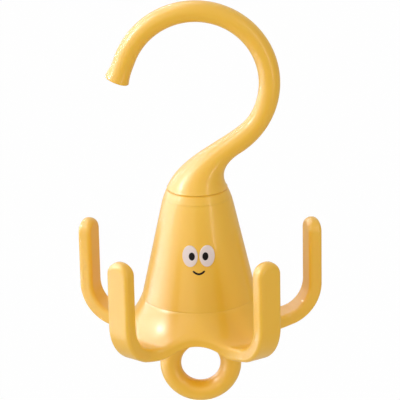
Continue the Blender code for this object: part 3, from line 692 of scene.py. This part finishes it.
# %% Sections from the tip to the post
TIP_TILT = math.radians(22.0)
TIP_LENGTH = 11.8 * MM
TIP_RADIUS = 5.9 * MM
TIP_FLARE = 8.0 * MM
TIP_EDGE = 0.8 * MM
RIM_EDGE = 0.3 * MM
CAP_WALL = 2.2 * MM
CAP_HOLLOW_DEPTH = 4.5 * MM
CAP_HOLLOW_RADIUS = 8.4 * MM
POST_RADIUS = 4.0 * MM
POST_ROOT_RADIUS = 5.2 * MM
POST_ROOT_RISE = 0.3 * MM  # above the cap's rim, where the root has thinned to the post
POST_END_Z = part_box("hook")[0].z
INSIDE_EDGES = np.array([0.2, 1.2, 0.8, 0.2, 0.4, 0.0]) * MM  # the easing of each corner inside the cap


def tip_sections(rings=4, edge_steps=8, flare_steps=24):
    """The free end: a flat disc, a quarter round at its edge, and a flare that fades with the square."""
    start = math.pi - TIP_TILT
    outward = np.array([math.cos(start), math.sin(start)])
    forward = np.array([-math.sin(start), math.cos(start)])
    turn = np.linspace(0, np.pi / 2, edge_steps + 1)
    share = np.linspace(1, 0, flare_steps + 1)[1:]
    disc = np.linspace(0, TIP_RADIUS - TIP_EDGE, rings + 1)[:-1]
    edge = TIP_RADIUS - TIP_EDGE * (1 - np.sin(turn))
    flare = ROD_RADIUS + (TIP_RADIUS - ROD_RADIUS) * share**2
    radius = np.concatenate([disc, edge, flare])
    at_edge = TIP_LENGTH - TIP_EDGE * (1 - np.cos(turn))
    at_flare = TIP_LENGTH - TIP_FLARE + share * (TIP_FLARE - TIP_EDGE)
    along = np.concatenate([np.full(rings, TIP_LENGTH), at_edge, at_flare])
    centre = on_round(HOOK_RADIUS, start) + along[:, None] * forward
    return centre, radius[:, None] * outward


def cap_inside():
    """The cap's hollow and the post in it: corners (r, z), from the cap's rim to the post's end, eased."""
    roof = CAP_BOTTOM_Z + CAP_HOLLOW_DEPTH
    corners = [
        (CAP_RADIUS - CAP_WALL, CAP_BOTTOM_Z),
        (CAP_HOLLOW_RADIUS, roof),
        (POST_ROOT_RADIUS, roof),
        (POST_RADIUS, CAP_BOTTOM_Z + POST_ROOT_RISE),
        (POST_RADIUS, POST_END_Z),
        (0.0, POST_END_Z),
    ]
    return rounded(corners, INSIDE_EDGES)[:-1]


def hook_sections(round_count=150, neck_count=110, rim_steps=6):
    """Centres and half widths of all sections, in order: tip, round, neck, rim of the cap, hollow, post."""
    tip_centre, tip_half = tip_sections()
    angle = np.linspace(math.pi - TIP_TILT, NECK_INNER_ANGLE, round_count)
    way = np.stack([np.cos(angle), np.sin(angle)], -1)
    inner, outer = neck_sides(np.linspace(0, 1, neck_count)[1:-1])
    turn = np.linspace(0, np.pi / 2, rim_steps + 1)[:, None]
    rim = np.array([CAP_RADIUS, CAP_BOTTOM_Z]) - RIM_EDGE * np.hstack([1 - np.cos(turn), np.sin(turn) - 1])
    turned = np.vstack([rim, cap_inside()])
    centres = [tip_centre, np.array([0, HOOK_Z]) + HOOK_RADIUS * way, (inner + outer) / 2, turned * (0, 1)]
    halves = [tip_half, ROD_RADIUS * way, (outer - inner) / 2, turned * (1, 0)]
    return np.vstack(centres), np.vstack(halves)


# %% The hook's surface
def round_sections(centre, half, sides=80):
    """Circles about centres in the XZ plane: centre + half cos a in it, and |half| sin a across it."""
    a = np.linspace(0, 2 * np.pi, sides + 1)
    width = np.linalg.norm(half, axis=1)[:, None]
    return np.stack(
        [
            centre[:, :1] + half[:, :1] * np.cos(a),
            width * np.sin(a),
            centre[:, 1:] + half[:, 1:] * np.cos(a),
        ],
        axis=-1,
    )


def yellow_piece(name, grids, replaced, body="lower_body"):
    """Makes a piece of the yellow plastic, on the lower body unless told otherwise."""
    piece(name, grids, body, replaced, YELLOW)


yellow_piece("hook_moulding", [round_sections(*hook_sections())], ["hook"], body="hook_side")

# %% [markdown]
# ## The collar and the body
#
# Below the groove sits a low collar, and below a hairline the long cone. Both are solids of revolution. The
# hairlines are real gaps between pieces with slightly eased edges, because a drawn line wouldn't catch the
# light as the real one does. A lip on the collar stands up inside the groove and keeps it shallow, so that
# it looks dark golden and not black.

# %% Collar and cone
COLLAR_TOP_Z = GROOVE_Z - GROOVE_GAP / 2
COLLAR_BOTTOM_Z = GROOVE_Z - 4.15 * MM
COLLAR_EDGES = (0.15 * MM, 0.1 * MM)  # the roundings at the top and at the bottom
COLLAR_LIP_RADIUS = 12.5 * MM
COLLAR_LIP_SINK = 0.35 * MM  # behind the body's side
COLLAR_LIP_RISE = 0.5 * MM
HAIRLINE = 0.01 * MM
CONE_TOP_Z = COLLAR_BOTTOM_Z - HAIRLINE
CONE_BOTTOM_Z = SEAM_Z + HAIRLINE / 2
CONE_EDGES = (0.1 * MM, 0.03 * MM)  # the same for the cone
CONE_WALL = 2.4 * MM
ROOF_THICKNESS = 3.4 * MM
SPIGOT_RADIUS = 6.6 * MM
WASHER_RADIUS = 8.4 * MM
LEDGE_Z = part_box("cone_shell")[1].z


def eased_side(top, bottom, edges, count, steps=4):
    """The body's side from one level down to another, with a quarter round at its upper and lower edge."""
    top_edge, low_edge = edges
    height = np.linspace(top - top_edge, bottom + low_edge, count)
    line = np.stack([body_radius(height), height], -1)
    turn = np.linspace(0, np.pi / 2, steps + 1)[:-1, None]
    upper = line[0] + top_edge * np.hstack([np.sin(turn) - 1, np.cos(turn)])
    lower = line[-1] + low_edge * np.hstack([np.sin(turn) - 1, -np.cos(turn)])
    return np.vstack([upper, line, lower[::-1]])


def closed(*lines):
    """One profile through all the lines and back to its first point."""
    points = np.vstack(lines)
    return np.vstack([points, points[:1]])


collar_side = eased_side(COLLAR_TOP_Z, COLLAR_BOTTOM_Z, COLLAR_EDGES, count=14)
bore, seat = SPIGOT_RADIUS + CLEARANCE, WASHER_RADIUS + CLEARANCE
collar_inside = [(bore, COLLAR_BOTTOM_Z), (bore, LEDGE_Z), (seat, LEDGE_Z), (seat, COLLAR_TOP_Z)]
lip_outside, lip_top = body_radius(COLLAR_TOP_Z) - COLLAR_LIP_SINK, COLLAR_TOP_Z + COLLAR_LIP_RISE
collar_lip = [
    (COLLAR_LIP_RADIUS, COLLAR_TOP_Z),
    (COLLAR_LIP_RADIUS, lip_top),
    (lip_outside, lip_top),
    (lip_outside, COLLAR_TOP_Z),
]
yellow_piece("collar", [revolved(closed(collar_side, collar_inside, collar_lip))], ["swivel_collar"])

cone_side = eased_side(CONE_TOP_Z, CONE_BOTTOM_Z, CONE_EDGES, count=60)
roof = CONE_TOP_Z - ROOF_THICKNESS
cone_inside = [
    (body_radius(CONE_BOTTOM_Z) - CONE_WALL, CONE_BOTTOM_Z),
    (body_radius(roof) - CONE_WALL, roof),
    (POST_RADIUS + CLEARANCE, roof),
    (POST_RADIUS + CLEARANCE, LEDGE_Z),
    (SPIGOT_RADIUS, LEDGE_Z),
    (SPIGOT_RADIUS, CONE_TOP_Z),
]
yellow_piece("cone", [revolved(closed(cone_side, cone_inside))], ["cone_shell"])

# %% [markdown]
# ## The skirt and its arms
#
# The skirt and the five arms are one moulding. Seen from above its rim is a star: it swings in between two
# arms and runs straight along each. Seen from the side, the upper face falls from the seam into a trough
# and climbs each arm in a J. Both faces are fans of rays from the round seam to the rim, and a band with
# rounded edges follows the rim. Only one arm's fifth of the round is worked out, and then turned.

# %% Heights of the two faces
ARM_COUNT = 5
ARM_TURN = math.radians(-3.1)
ARM_REACH = 60.35 * MM
ARM_WIDTH = 12.4 * MM
ARM_THICKNESS = 6.6 * MM
ARM_HEIGHT = 53.2 * MM
ARM_EDGE = 1.8 * MM
TIP_ROUNDING = 0.7  # how much fuller the rounding is at the very tip
ARM_ROOT_RADIUS = 45.5 * MM
TROUGH_RADIUS = 39.35 * MM
WEB_RADIUS = 33.0 * MM
PLATE_RADIUS = 27.4 * MM
BASE_TOP_Z = SEAM_Z - HAIRLINE / 2
SEAM_LEDGE = 0.22 * MM
TROUGH_Z = SEAM_Z - 14.1 * MM
UNDERSIDE_Z = SEAM_Z - 13.5 * MM
SKIRT_SHARES = (0.15, 0.33, 0.41)  # of run and drop: out and down at the seam, back at the trough
UNDERSIDE_SHARES = (0.52, 0.35)  # of the run, at the plate and at the trough
LIP_HEIGHT = 2.2 * MM
LIP_THICKNESS = 1.6 * MM
FLOOR_TOP_Z = SEAM_Z - 7.2 * MM
FLOOR_BOTTOM_Z = SEAM_Z - 10.2 * MM
INNER_BEND = ARM_REACH - ARM_THICKNESS - TROUGH_RADIUS
OUTER_BEND = ARM_REACH - TROUGH_RADIUS
BEND_Z = TROUGH_Z + INNER_BEND
ARM_TIP_Z = BEND_Z - OUTER_BEND + ARM_HEIGHT


def fine_curve(points, count=200):
    """Many places along a cubic curve, from its start to its end."""
    return bezier(points, np.linspace(0, 1, count))


def height_from(curve, bend, distance):
    """Height at each distance: the given curve to the trough, then up a circle of the bend's radius."""
    inside = np.interp(distance, curve[:, 0], curve[:, 1])
    beyond = np.clip(distance - TROUGH_RADIUS, 0, bend)
    return inside + bend - np.sqrt(bend**2 - beyond**2)


def upper_height(distance):
    """The skirt's upper face: a narrow ledge at the seam, then a steep fall that levels at the trough."""
    run, drop = TROUGH_RADIUS - SEAM_RADIUS, BASE_TOP_Z - TROUGH_Z
    out, down, back_share = SKIRT_SHARES
    points = (
        (SEAM_RADIUS + SEAM_LEDGE, BASE_TOP_Z - SEAM_LEDGE),
        (SEAM_RADIUS + out * run, BASE_TOP_Z - down * drop),
        (TROUGH_RADIUS - back_share * run, TROUGH_Z),
        (TROUGH_RADIUS, TROUGH_Z),
    )
    curve = np.vstack([[SEAM_RADIUS, BASE_TOP_Z], fine_curve(points)])
    return height_from(curve, INNER_BEND, distance)


def lower_height(distance):
    """The skirt's lower face: level at the plate and level again under the trough."""
    start, low = PLATE_RADIUS + CLEARANCE, BEND_Z - OUTER_BEND
    run = TROUGH_RADIUS - start
    points = (
        (start, UNDERSIDE_Z),
        (start + UNDERSIDE_SHARES[0] * run, UNDERSIDE_Z),
        (TROUGH_RADIUS - UNDERSIDE_SHARES[1] * run, low),
        (TROUGH_RADIUS, low),
    )
    return height_from(fine_curve(points), OUTER_BEND, distance)


# %% The rim, seen from above
WEB_STEPS = 28
WEB_SHARES = (0.47, 0.24)  # of half the gap between two arms, the curve's handles midway and at the arm


def web_rim():
    """Half a web's rim and its normal: a cubic curve from midway between two arms to the root of one."""
    half = math.pi / ARM_COUNT
    root = np.array([ARM_ROOT_RADIUS, ARM_WIDTH / 2])
    middle_way = np.array([math.cos(half), math.sin(half)])
    across_way = np.array([middle_way[1], -middle_way[0]])
    reach = root @ across_way
    middle = WEB_RADIUS * middle_way
    handles = middle + WEB_SHARES[0] * reach * across_way, root - (WEB_SHARES[1] * reach, 0)
    points = (middle, *handles, root)
    t = np.linspace(0, 1, WEB_STEPS + 1)
    line = bezier(points, t)
    a, b, c, d = points
    t = t[:, None]
    way = (1 - t) ** 2 * (b - a) + 2 * t * (1 - t) * (c - b) + t**2 * (d - c)
    way = way / np.linalg.norm(way, axis=1, keepdims=True)
    return line, np.stack([-way[:, 1], way[:, 0]], axis=1)


# %% The band along the rim
EDGE_STEPS = 8
FLAT_STEPS = 5
curl = np.linspace(0, np.pi / 2, EDGE_STEPS + 1)
INSET = ARM_EDGE * (1 - np.sin(curl))
SINK = ARM_EDGE * (1 - np.cos(curl))
FLAT = np.linspace(0, 1, FLAT_STEPS + 1)[1:-1, None]
INNER_FACE = ARM_REACH - ARM_THICKNESS


def with_flat(top, low):
    """Adds the plain strip between a station's two rounded edges, as points evenly shared out."""
    end, start = top[..., -1:, :], low[..., -1:, :]
    return np.concatenate([top, end + FLAT * (start - end), low[..., ::-1, :]], axis=-2)


def web_band():
    """Beside the web: the rim moved in by the rounding, and sunk from the upper and lower face by it."""
    line, outward = web_rim()
    plan = line[:, None] - INSET[:, None] * outward[:, None]
    distance = np.linalg.norm(plan, axis=-1)
    top = np.concatenate([plan, (upper_height(distance) - SINK)[..., None]], -1)
    low = np.concatenate([plan, (lower_height(distance) + SINK)[..., None]], -1)
    return with_flat(top, low)


def arm_lines(steps=30, climb=16):
    """Upper and lower face along an arm: circles of unlike radius about one centre, then straight lines."""
    lines = []
    for bend, face in ((INNER_BEND, INNER_FACE), (OUTER_BEND, ARM_REACH)):
        start = math.asin((ARM_ROOT_RADIUS - TROUGH_RADIUS) / bend)
        turn = np.linspace(start, np.pi / 2, steps + 1)
        bow = np.stack([TROUGH_RADIUS + bend * np.sin(turn), BEND_Z - bend * np.cos(turn)], -1)
        height = np.linspace(BEND_Z, ARM_TIP_Z - ARM_WIDTH / 2, climb + 1)[1:]
        lines.append(np.vstack([bow, np.stack([np.full(climb, face), height], -1)]))
    return lines


def arm_band(tip_steps=20):
    """Beside the arm and round its tip, a quarter circle on which the rounding grows with sine squared."""
    half = ARM_WIDTH / 2
    upper, lower = (line[1:] for line in arm_lines())
    lift = (upper - lower) / np.linalg.norm(upper - lower, axis=1, keepdims=True)
    top = upper[:, None] - SINK[:, None] * lift[:, None]
    low = lower[:, None] + SINK[:, None] * lift[:, None]
    across = np.broadcast_to(half - INSET, top.shape[:2])
    top = np.stack([top[..., 0], across, top[..., 1]], -1)
    low = np.stack([low[..., 0], across, low[..., 1]], -1)
    turn = np.linspace(0, np.pi / 2, tip_steps + 1)[1:, None]
    fuller = 1 + TIP_ROUNDING * np.sin(turn) ** 2
    side = (half - fuller * INSET) * np.cos(turn)
    height = ARM_TIP_Z - half + (half - fuller * INSET) * np.sin(turn)
    tip_top = np.stack([INNER_FACE + fuller * SINK, side, height], -1)
    tip_low = np.stack([ARM_REACH - fuller * SINK, side, height], -1)
    return np.concatenate([with_flat(top, low), with_flat(tip_top, tip_low)])


# %% Faces, fans and the round middle
def arm_face(edge_line, columns=12):
    """Straight rows from one edge of an arm to the other."""
    spread = np.linspace(-1, 1, columns + 1)
    along, across, height = edge_line.T[..., None]
    return np.stack([along + 0 * spread, across * spread, height + 0 * spread], -1)


def fan(web, root, height_of, start, rows=26, ledge=0.0):
    """Rays from a circle of radius start to the rim's ends, with the face's height at each distance."""
    ends = np.vstack([web * (1, -1, 1), root[1:-1], web[::-1]])
    distance = np.linalg.norm(ends[:, :2], axis=1)
    share = np.linspace(0, 1, rows + 1)[:, None]
    reach = start + ledge + share * (distance - start - ledge)
    if ledge:
        reach = np.vstack([np.full(len(ends), start), reach])
    plan = (ends[:, :2] / distance[:, None])[None] * reach[..., None]
    level = height_of(reach)
    level[-1] = ends[:, 2]
    return np.concatenate([plan, level[..., None]], -1)


def middle(first, profile):
    """Rings inside a fan's first row, on its own rays: one for each (radius, height) of the profile."""
    ray = first[:, :2] / np.linalg.norm(first[:, :2], axis=1, keepdims=True)
    profile = np.asarray(profile)
    plan = ray[None] * profile[:, 0, None, None]
    level = np.broadcast_to(profile[:, 1, None, None], plan.shape[:2] + (1,))
    return np.concatenate([first[None], np.concatenate([plan, level], -1)])


band = np.concatenate([web_band(), arm_band()])
upper_face = arm_face(band[WEB_STEPS:, 0])
lower_face = arm_face(band[WEB_STEPS:, -1])
web = band[: WEB_STEPS + 1]
upper_fan = fan(web[:, 0], upper_face[0], upper_height, SEAM_RADIUS, ledge=SEAM_LEDGE)
lower_fan = fan(web[:, -1], lower_face[0], lower_height, PLATE_RADIUS + CLEARANCE)
lip = body_radius(CONE_BOTTOM_Z + LIP_HEIGHT) - CONE_WALL - CLEARANCE
well = [
    (lip, BASE_TOP_Z),
    (lip, BASE_TOP_Z + LIP_HEIGHT),
    (lip - LIP_THICKNESS, BASE_TOP_Z + LIP_HEIGHT),
    (lip - LIP_THICKNESS, FLOOR_TOP_Z),
    (0, FLOOR_TOP_Z),
]
upper_middle = middle(upper_fan[0], well)
lower_middle = middle(lower_fan[0], [(PLATE_RADIUS + CLEARANCE, FLOOR_BOTTOM_Z), (0, FLOOR_BOTTOM_Z)])
fifth = [band, band * (1, -1, 1), upper_face, lower_face, upper_fan, lower_fan, upper_middle, lower_middle]


# %% Five fifths make the round
def arm_angle(number):
    """The way of an arm, from +X anticlockwise seen from above."""
    return ARM_TURN + math.pi / ARM_COUNT + number * 2 * math.pi / ARM_COUNT - math.pi / 2


def turned(grids, angle):
    """The same grids turned about the swivel axis."""
    cosine, sine = math.cos(angle), math.sin(angle)
    spin = np.array([[cosine, sine, 0], [-sine, cosine, 0], [0, 0, 1]])
    return [grid @ spin for grid in grids]


round_grids = [grid for number in range(ARM_COUNT) for grid in turned(fifth, arm_angle(number))]
yellow_piece("skirt_and_arms", round_grids, ["arm_base"])

# %% [markdown]
# ## The ring and its plate
#
# The ring is a torus whose top runs up into the plate that closes the skirt from below. The stretch up to
# the plate is not a block set on the torus but the torus's own outer half, pushed out radially where it
# faces the plate, so that the two flow into each other as in one moulding.

# %% Ring
RING_RADIUS = 14.6 * MM
RING_TUBE = 5.1 * MM
RING_Z = SEAM_Z - 35.8 * MM
PLATE_TOP_Z = FLOOR_BOTTOM_Z - CLEARANCE
PLATE_BOTTOM_Z = PLATE_TOP_Z - 3.2 * MM
DRAWN_HALF = math.radians(22.0)  # the stretch on each side of the top that is fully drawn out
DRAWN_EASE = 0.35  # radians over which the drawing out fades
DRAWN_REACH = 1.2 * MM  # into the plate
DRAWN_LIMIT = 1.0 * MM  # where it is levelled, inside the plate
DRAWN_POWER = 0.55  # of the sine, which makes the drawn section squarer than round
DRAWN_WIDTHS = (0.86, 0.93)  # of the tube's, across the drawn half and the inner half
FLARE_SHARE = 0.35  # how much wider the stretch gets at the plate
FLARE_HEIGHT = 2.2 * MM


def ring_grid(around=240, tube=72):
    """A torus, whose outer half is drawn out towards the plate near the top and levelled inside it.

    The angle a goes round the ring from its top and b round the tube. The tube's radial part is
    r cos b, and where it is positive it is lengthened by the share w(a) of the way to the plate.
    """
    a = np.linspace(-np.pi, np.pi, around + 1)[:, None]
    b = np.linspace(-np.pi, np.pi, tube + 1)[None]
    share = 1 - smooth(DRAWN_HALF, DRAWN_HALF + DRAWN_EASE, np.abs(a))
    out, across = RING_TUBE * np.cos(b), RING_TUBE * np.sin(b)
    slant = np.clip(np.cos(a), 0.5, 1)  # kept off nought where nothing is drawn out
    room = (PLATE_BOTTOM_Z + DRAWN_REACH - RING_Z) / slant - RING_RADIUS
    outer = np.clip(out, 0, None)
    drawn = np.maximum(outer / RING_TUBE * room, outer)
    radial = RING_RADIUS + np.where(out > 0, (1 - share) * outer + share * drawn, out)
    x, z = radial * np.sin(a), RING_Z + radial * np.cos(a)
    squarer = RING_TUBE * np.sign(across) * np.abs(np.sin(b)) ** DRAWN_POWER
    width = np.where(out > 0, DRAWN_WIDTHS[0] * squarer, DRAWN_WIDTHS[1] * across)
    y = (1 - share) * across + share * width
    flare = 1 + FLARE_SHARE * share * smooth(PLATE_BOTTOM_Z - FLARE_HEIGHT, PLATE_BOTTOM_Z, z) ** 2
    return np.stack([x + 0 * b, y * flare, np.minimum(z, PLATE_BOTTOM_Z + DRAWN_LIMIT)], -1)


yellow_piece("hanging_ring", [ring_grid()], ["bottom_ring"])

# %% Plate with its three screw holes
SCREW_COUNT = 3
SCREW_CIRCLE = 17.5 * MM
HOLE_RADIUS = 1.7 * MM
SEAT_RADIUS = 3.0 * MM
SEAT_DEPTH = 2.0 * MM
SEAT_EDGE = 0.25 * MM
PLATE_BEVEL = 0.4 * MM
ARC_MARGIN = 0.01 * MM  # a rim point that is nearer to the plate's radius than this lies on the arc


def sector_rim(count=24):
    """The edge of a third of a disc: from its point along one side, round the arc and back."""
    reach = np.linspace(0, PLATE_RADIUS, count + 1)[:, None]
    half = math.pi / SCREW_COUNT
    first = reach * [math.cos(-half), math.sin(-half)]
    turn = np.linspace(-half, half, 2 * count + 1)[1:-1, None]
    arc = PLATE_RADIUS * np.hstack([np.cos(turn), np.sin(turn)])
    last = reach[::-1] * [math.cos(half), math.sin(half)]
    return np.vstack([first, arc, last])


def sector():
    """A third of the plate: the lower side with the hole and its seat, the bevelled wall, and the top."""
    rim = sector_rim()
    centre = np.array([SCREW_CIRCLE, 0])
    way = (rim - centre) / np.linalg.norm(rim - centre, axis=1, keepdims=True)
    hole, seat = centre + HOLE_RADIUS * way, centre + SEAT_RADIUS * way
    eased = centre + (SEAT_RADIUS + SEAT_EDGE) * way
    on_arc = np.linalg.norm(rim, axis=1) > PLATE_RADIUS - ARC_MARGIN
    inset = np.where(on_arc[:, None], rim * (1 - PLATE_BEVEL / PLATE_RADIUS), rim)
    under = [
        (hole, PLATE_TOP_Z),
        (hole, PLATE_BOTTOM_Z + SEAT_DEPTH),
        (seat, PLATE_BOTTOM_Z + SEAT_DEPTH),
        (seat, PLATE_BOTTOM_Z + SEAT_EDGE),
        (eased, PLATE_BOTTOM_Z),
        (inset, PLATE_BOTTOM_Z),
    ]
    wall = [(rim, PLATE_BOTTOM_Z + PLATE_BEVEL * on_arc), (rim, PLATE_TOP_Z)]
    rows = np.array([np.column_stack([plan, np.zeros(len(plan)) + level]) for plan, level in under + wall])
    return [rows[: len(under)], rows[len(under) - 1 :, on_arc], rows[[-1, 0]]]


angles = [math.pi / 2 + number * 2 * math.pi / SCREW_COUNT for number in range(SCREW_COUNT)]
yellow_piece("ring_plate", [grid for angle in angles for grid in turned(sector(), angle)], [])

# %% [markdown]
# ## The face
#
# The eyes are thin white ovals that stand half a millimetre proud of the cone, softly domed, and the pupils
# and the mouth are black print. Their outlines are drawn flat, as widths along the surface and heights, and
# then wrapped round the cone, so that they follow its curve and taper. The face is a plain, friendly one.

# %% Wrapping a flat drawing round the cone
EYE_WIDTH = 7.3 * MM
EYE_HEIGHT = 9.9 * MM
EYE_SPACING = 8.05 * MM
EYE_Z = GROOVE_Z - 26.9 * MM
EYE_THICKNESS = 0.5 * MM
EYE_GAP = 0.05 * MM  # between an eye's back and the cone
PUPIL_WIDTH = 2.8 * MM
PUPIL_HEIGHT = 3.7 * MM
PUPIL_SHIFT = 0.9 * MM  # towards the nose
PUPIL_SINK_SHARE = 0.98  # of the eye's thickness, where the pupil's back lies
PUPIL_THICKNESS = 0.06 * MM


def wrapped(across, height, lift):
    """A point at radius R(z) + lift and angle across / R(z) from the front: (R sin, -R cos, z)."""
    radius = body_radius(height)
    angle = across / radius
    reach = radius + lift
    return np.stack([reach * np.sin(angle), -reach * np.cos(angle), height], axis=-1)


def oval(x, z, width, height, profile, sides=96):
    """Nested ellipses: each (share, lift) of the profile is one ring of the oval, lifted off the cone."""
    turn = np.linspace(0, 2 * np.pi, sides + 1)
    share, lift = np.asarray(profile).T[..., None]
    across = x + share * width / 2 * np.cos(turn)
    level = z + share * height / 2 * np.sin(turn)
    return wrapped(across, level, lift)


def dome(bottom, thickness, edge_share=0.06, crown=0.25, fall_share=0.75, rings=14, steps=6):
    """Profile of a low dome: a crown that falls with the square, a rounded edge, and a level back."""
    inside = np.linspace(0, 1 - edge_share, rings)
    crowned = bottom + thickness * (1 - crown * inside**2)
    turn = np.linspace(0, np.pi / 2, steps + 1)[1:]
    edge = 1 - edge_share * (1 - np.sin(turn))
    fall = bottom + (crowned[-1] - bottom) * (1 - (1 - np.cos(turn)) * fall_share)
    shares = np.concatenate([inside, edge, [1.0, 0.5, 0.0]])
    return np.stack([shares, np.concatenate([crowned, fall, [bottom, bottom, bottom]])], -1)


# %% Eyes and pupils
eye_profile = dome(EYE_GAP, EYE_THICKNESS)
pupil_back = EYE_GAP + PUPIL_SINK_SHARE * EYE_THICKNESS
pupil_profile = dome(pupil_back, PUPIL_THICKNESS, edge_share=0.05, crown=0.1)
for side, way in (("left", -1), ("right", 1)):
    x = way * EYE_SPACING / 2
    eye = oval(x, EYE_Z, EYE_WIDTH, EYE_HEIGHT, eye_profile)
    piece(f"eye_white_{side}", [eye], "lower_body", [f"eye_{side}"], EYE_WHITE)
    pupil = oval(x - way * PUPIL_SHIFT, EYE_Z, PUPIL_WIDTH, PUPIL_HEIGHT, pupil_profile)
    piece(f"pupil_print_{side}", [pupil], "lower_body", [f"pupil_{side}"], BLACK_PRINT)

# %% Mouth
SMILE_WIDTH = 5.6 * MM
SMILE_SAG = 1.5 * MM
SMILE_DROP = 6.8 * MM
SMILE_STROKE = 0.9 * MM
SMILE_LIFT = 0.04 * MM  # from the cone to the middle of the print
SMILE_RISE = 0.05 * MM  # from there to its face, and to its back


def smile_grid(steps=60, sides=16):
    """A stroke along the parabola z = sag (t^2 - 1), rounded off at both ends and thin like print."""
    t = np.linspace(-1, 1, steps + 1)
    slope = 2 * SMILE_SAG * t / (SMILE_WIDTH / 2)
    length = np.hypot(1, slope)
    from_end = (1 - np.abs(t)) * SMILE_WIDTH / 2
    half = SMILE_STROKE / 2
    width = np.sqrt(half**2 - np.clip(half - from_end, 0, None) ** 2)
    turn = np.linspace(0, 2 * np.pi, sides + 1)[:, None]
    shift = width * np.cos(turn)
    across = t * SMILE_WIDTH / 2 - shift * slope / length
    level = EYE_Z - SMILE_DROP + SMILE_SAG * (t**2 - 1) + shift / length
    lift = SMILE_LIFT + SMILE_RISE * np.sin(turn) * np.minimum(1, width / half)
    return wrapped(across, level, lift)


piece("smile_print", [smile_grid()], "lower_body", ["smile"], BLACK_PRINT)

# %% [markdown]
# ## The inner pieces
#
# The screws and washers inside the swivel and under the plate keep the frame's own solids, because their
# shape is right and little of them shows. They get finishes of their own in place of the plain colours.

# %% Finishes for screws and washers
INNER_CREASE = math.radians(35)
washers = ("thrust_washer", "bearing_washer")
steel = ("pivot_screw", "pivot_washer", "plate_screw_1", "plate_screw_2", "plate_screw_3")
for made, names in ((BEARING_WHITE, washers), (ZINC, steel)):
    for name in names:
        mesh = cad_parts[name].data
        mesh.materials.clear()
        mesh.materials.append(made)
        mesh.shade_smooth()
        mesh.set_sharp_from_angle(angle=INNER_CREASE)
        print(name, "is finished as", made.name)

# %% Compare the two boxes and finish
low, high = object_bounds()
for side, cad, visual in (("low", cad_low, low), ("high", cad_high, high)):
    print(side, "side moves by mm:", [round(1000 * (b - a), 2) for a, b in zip(cad, visual)])
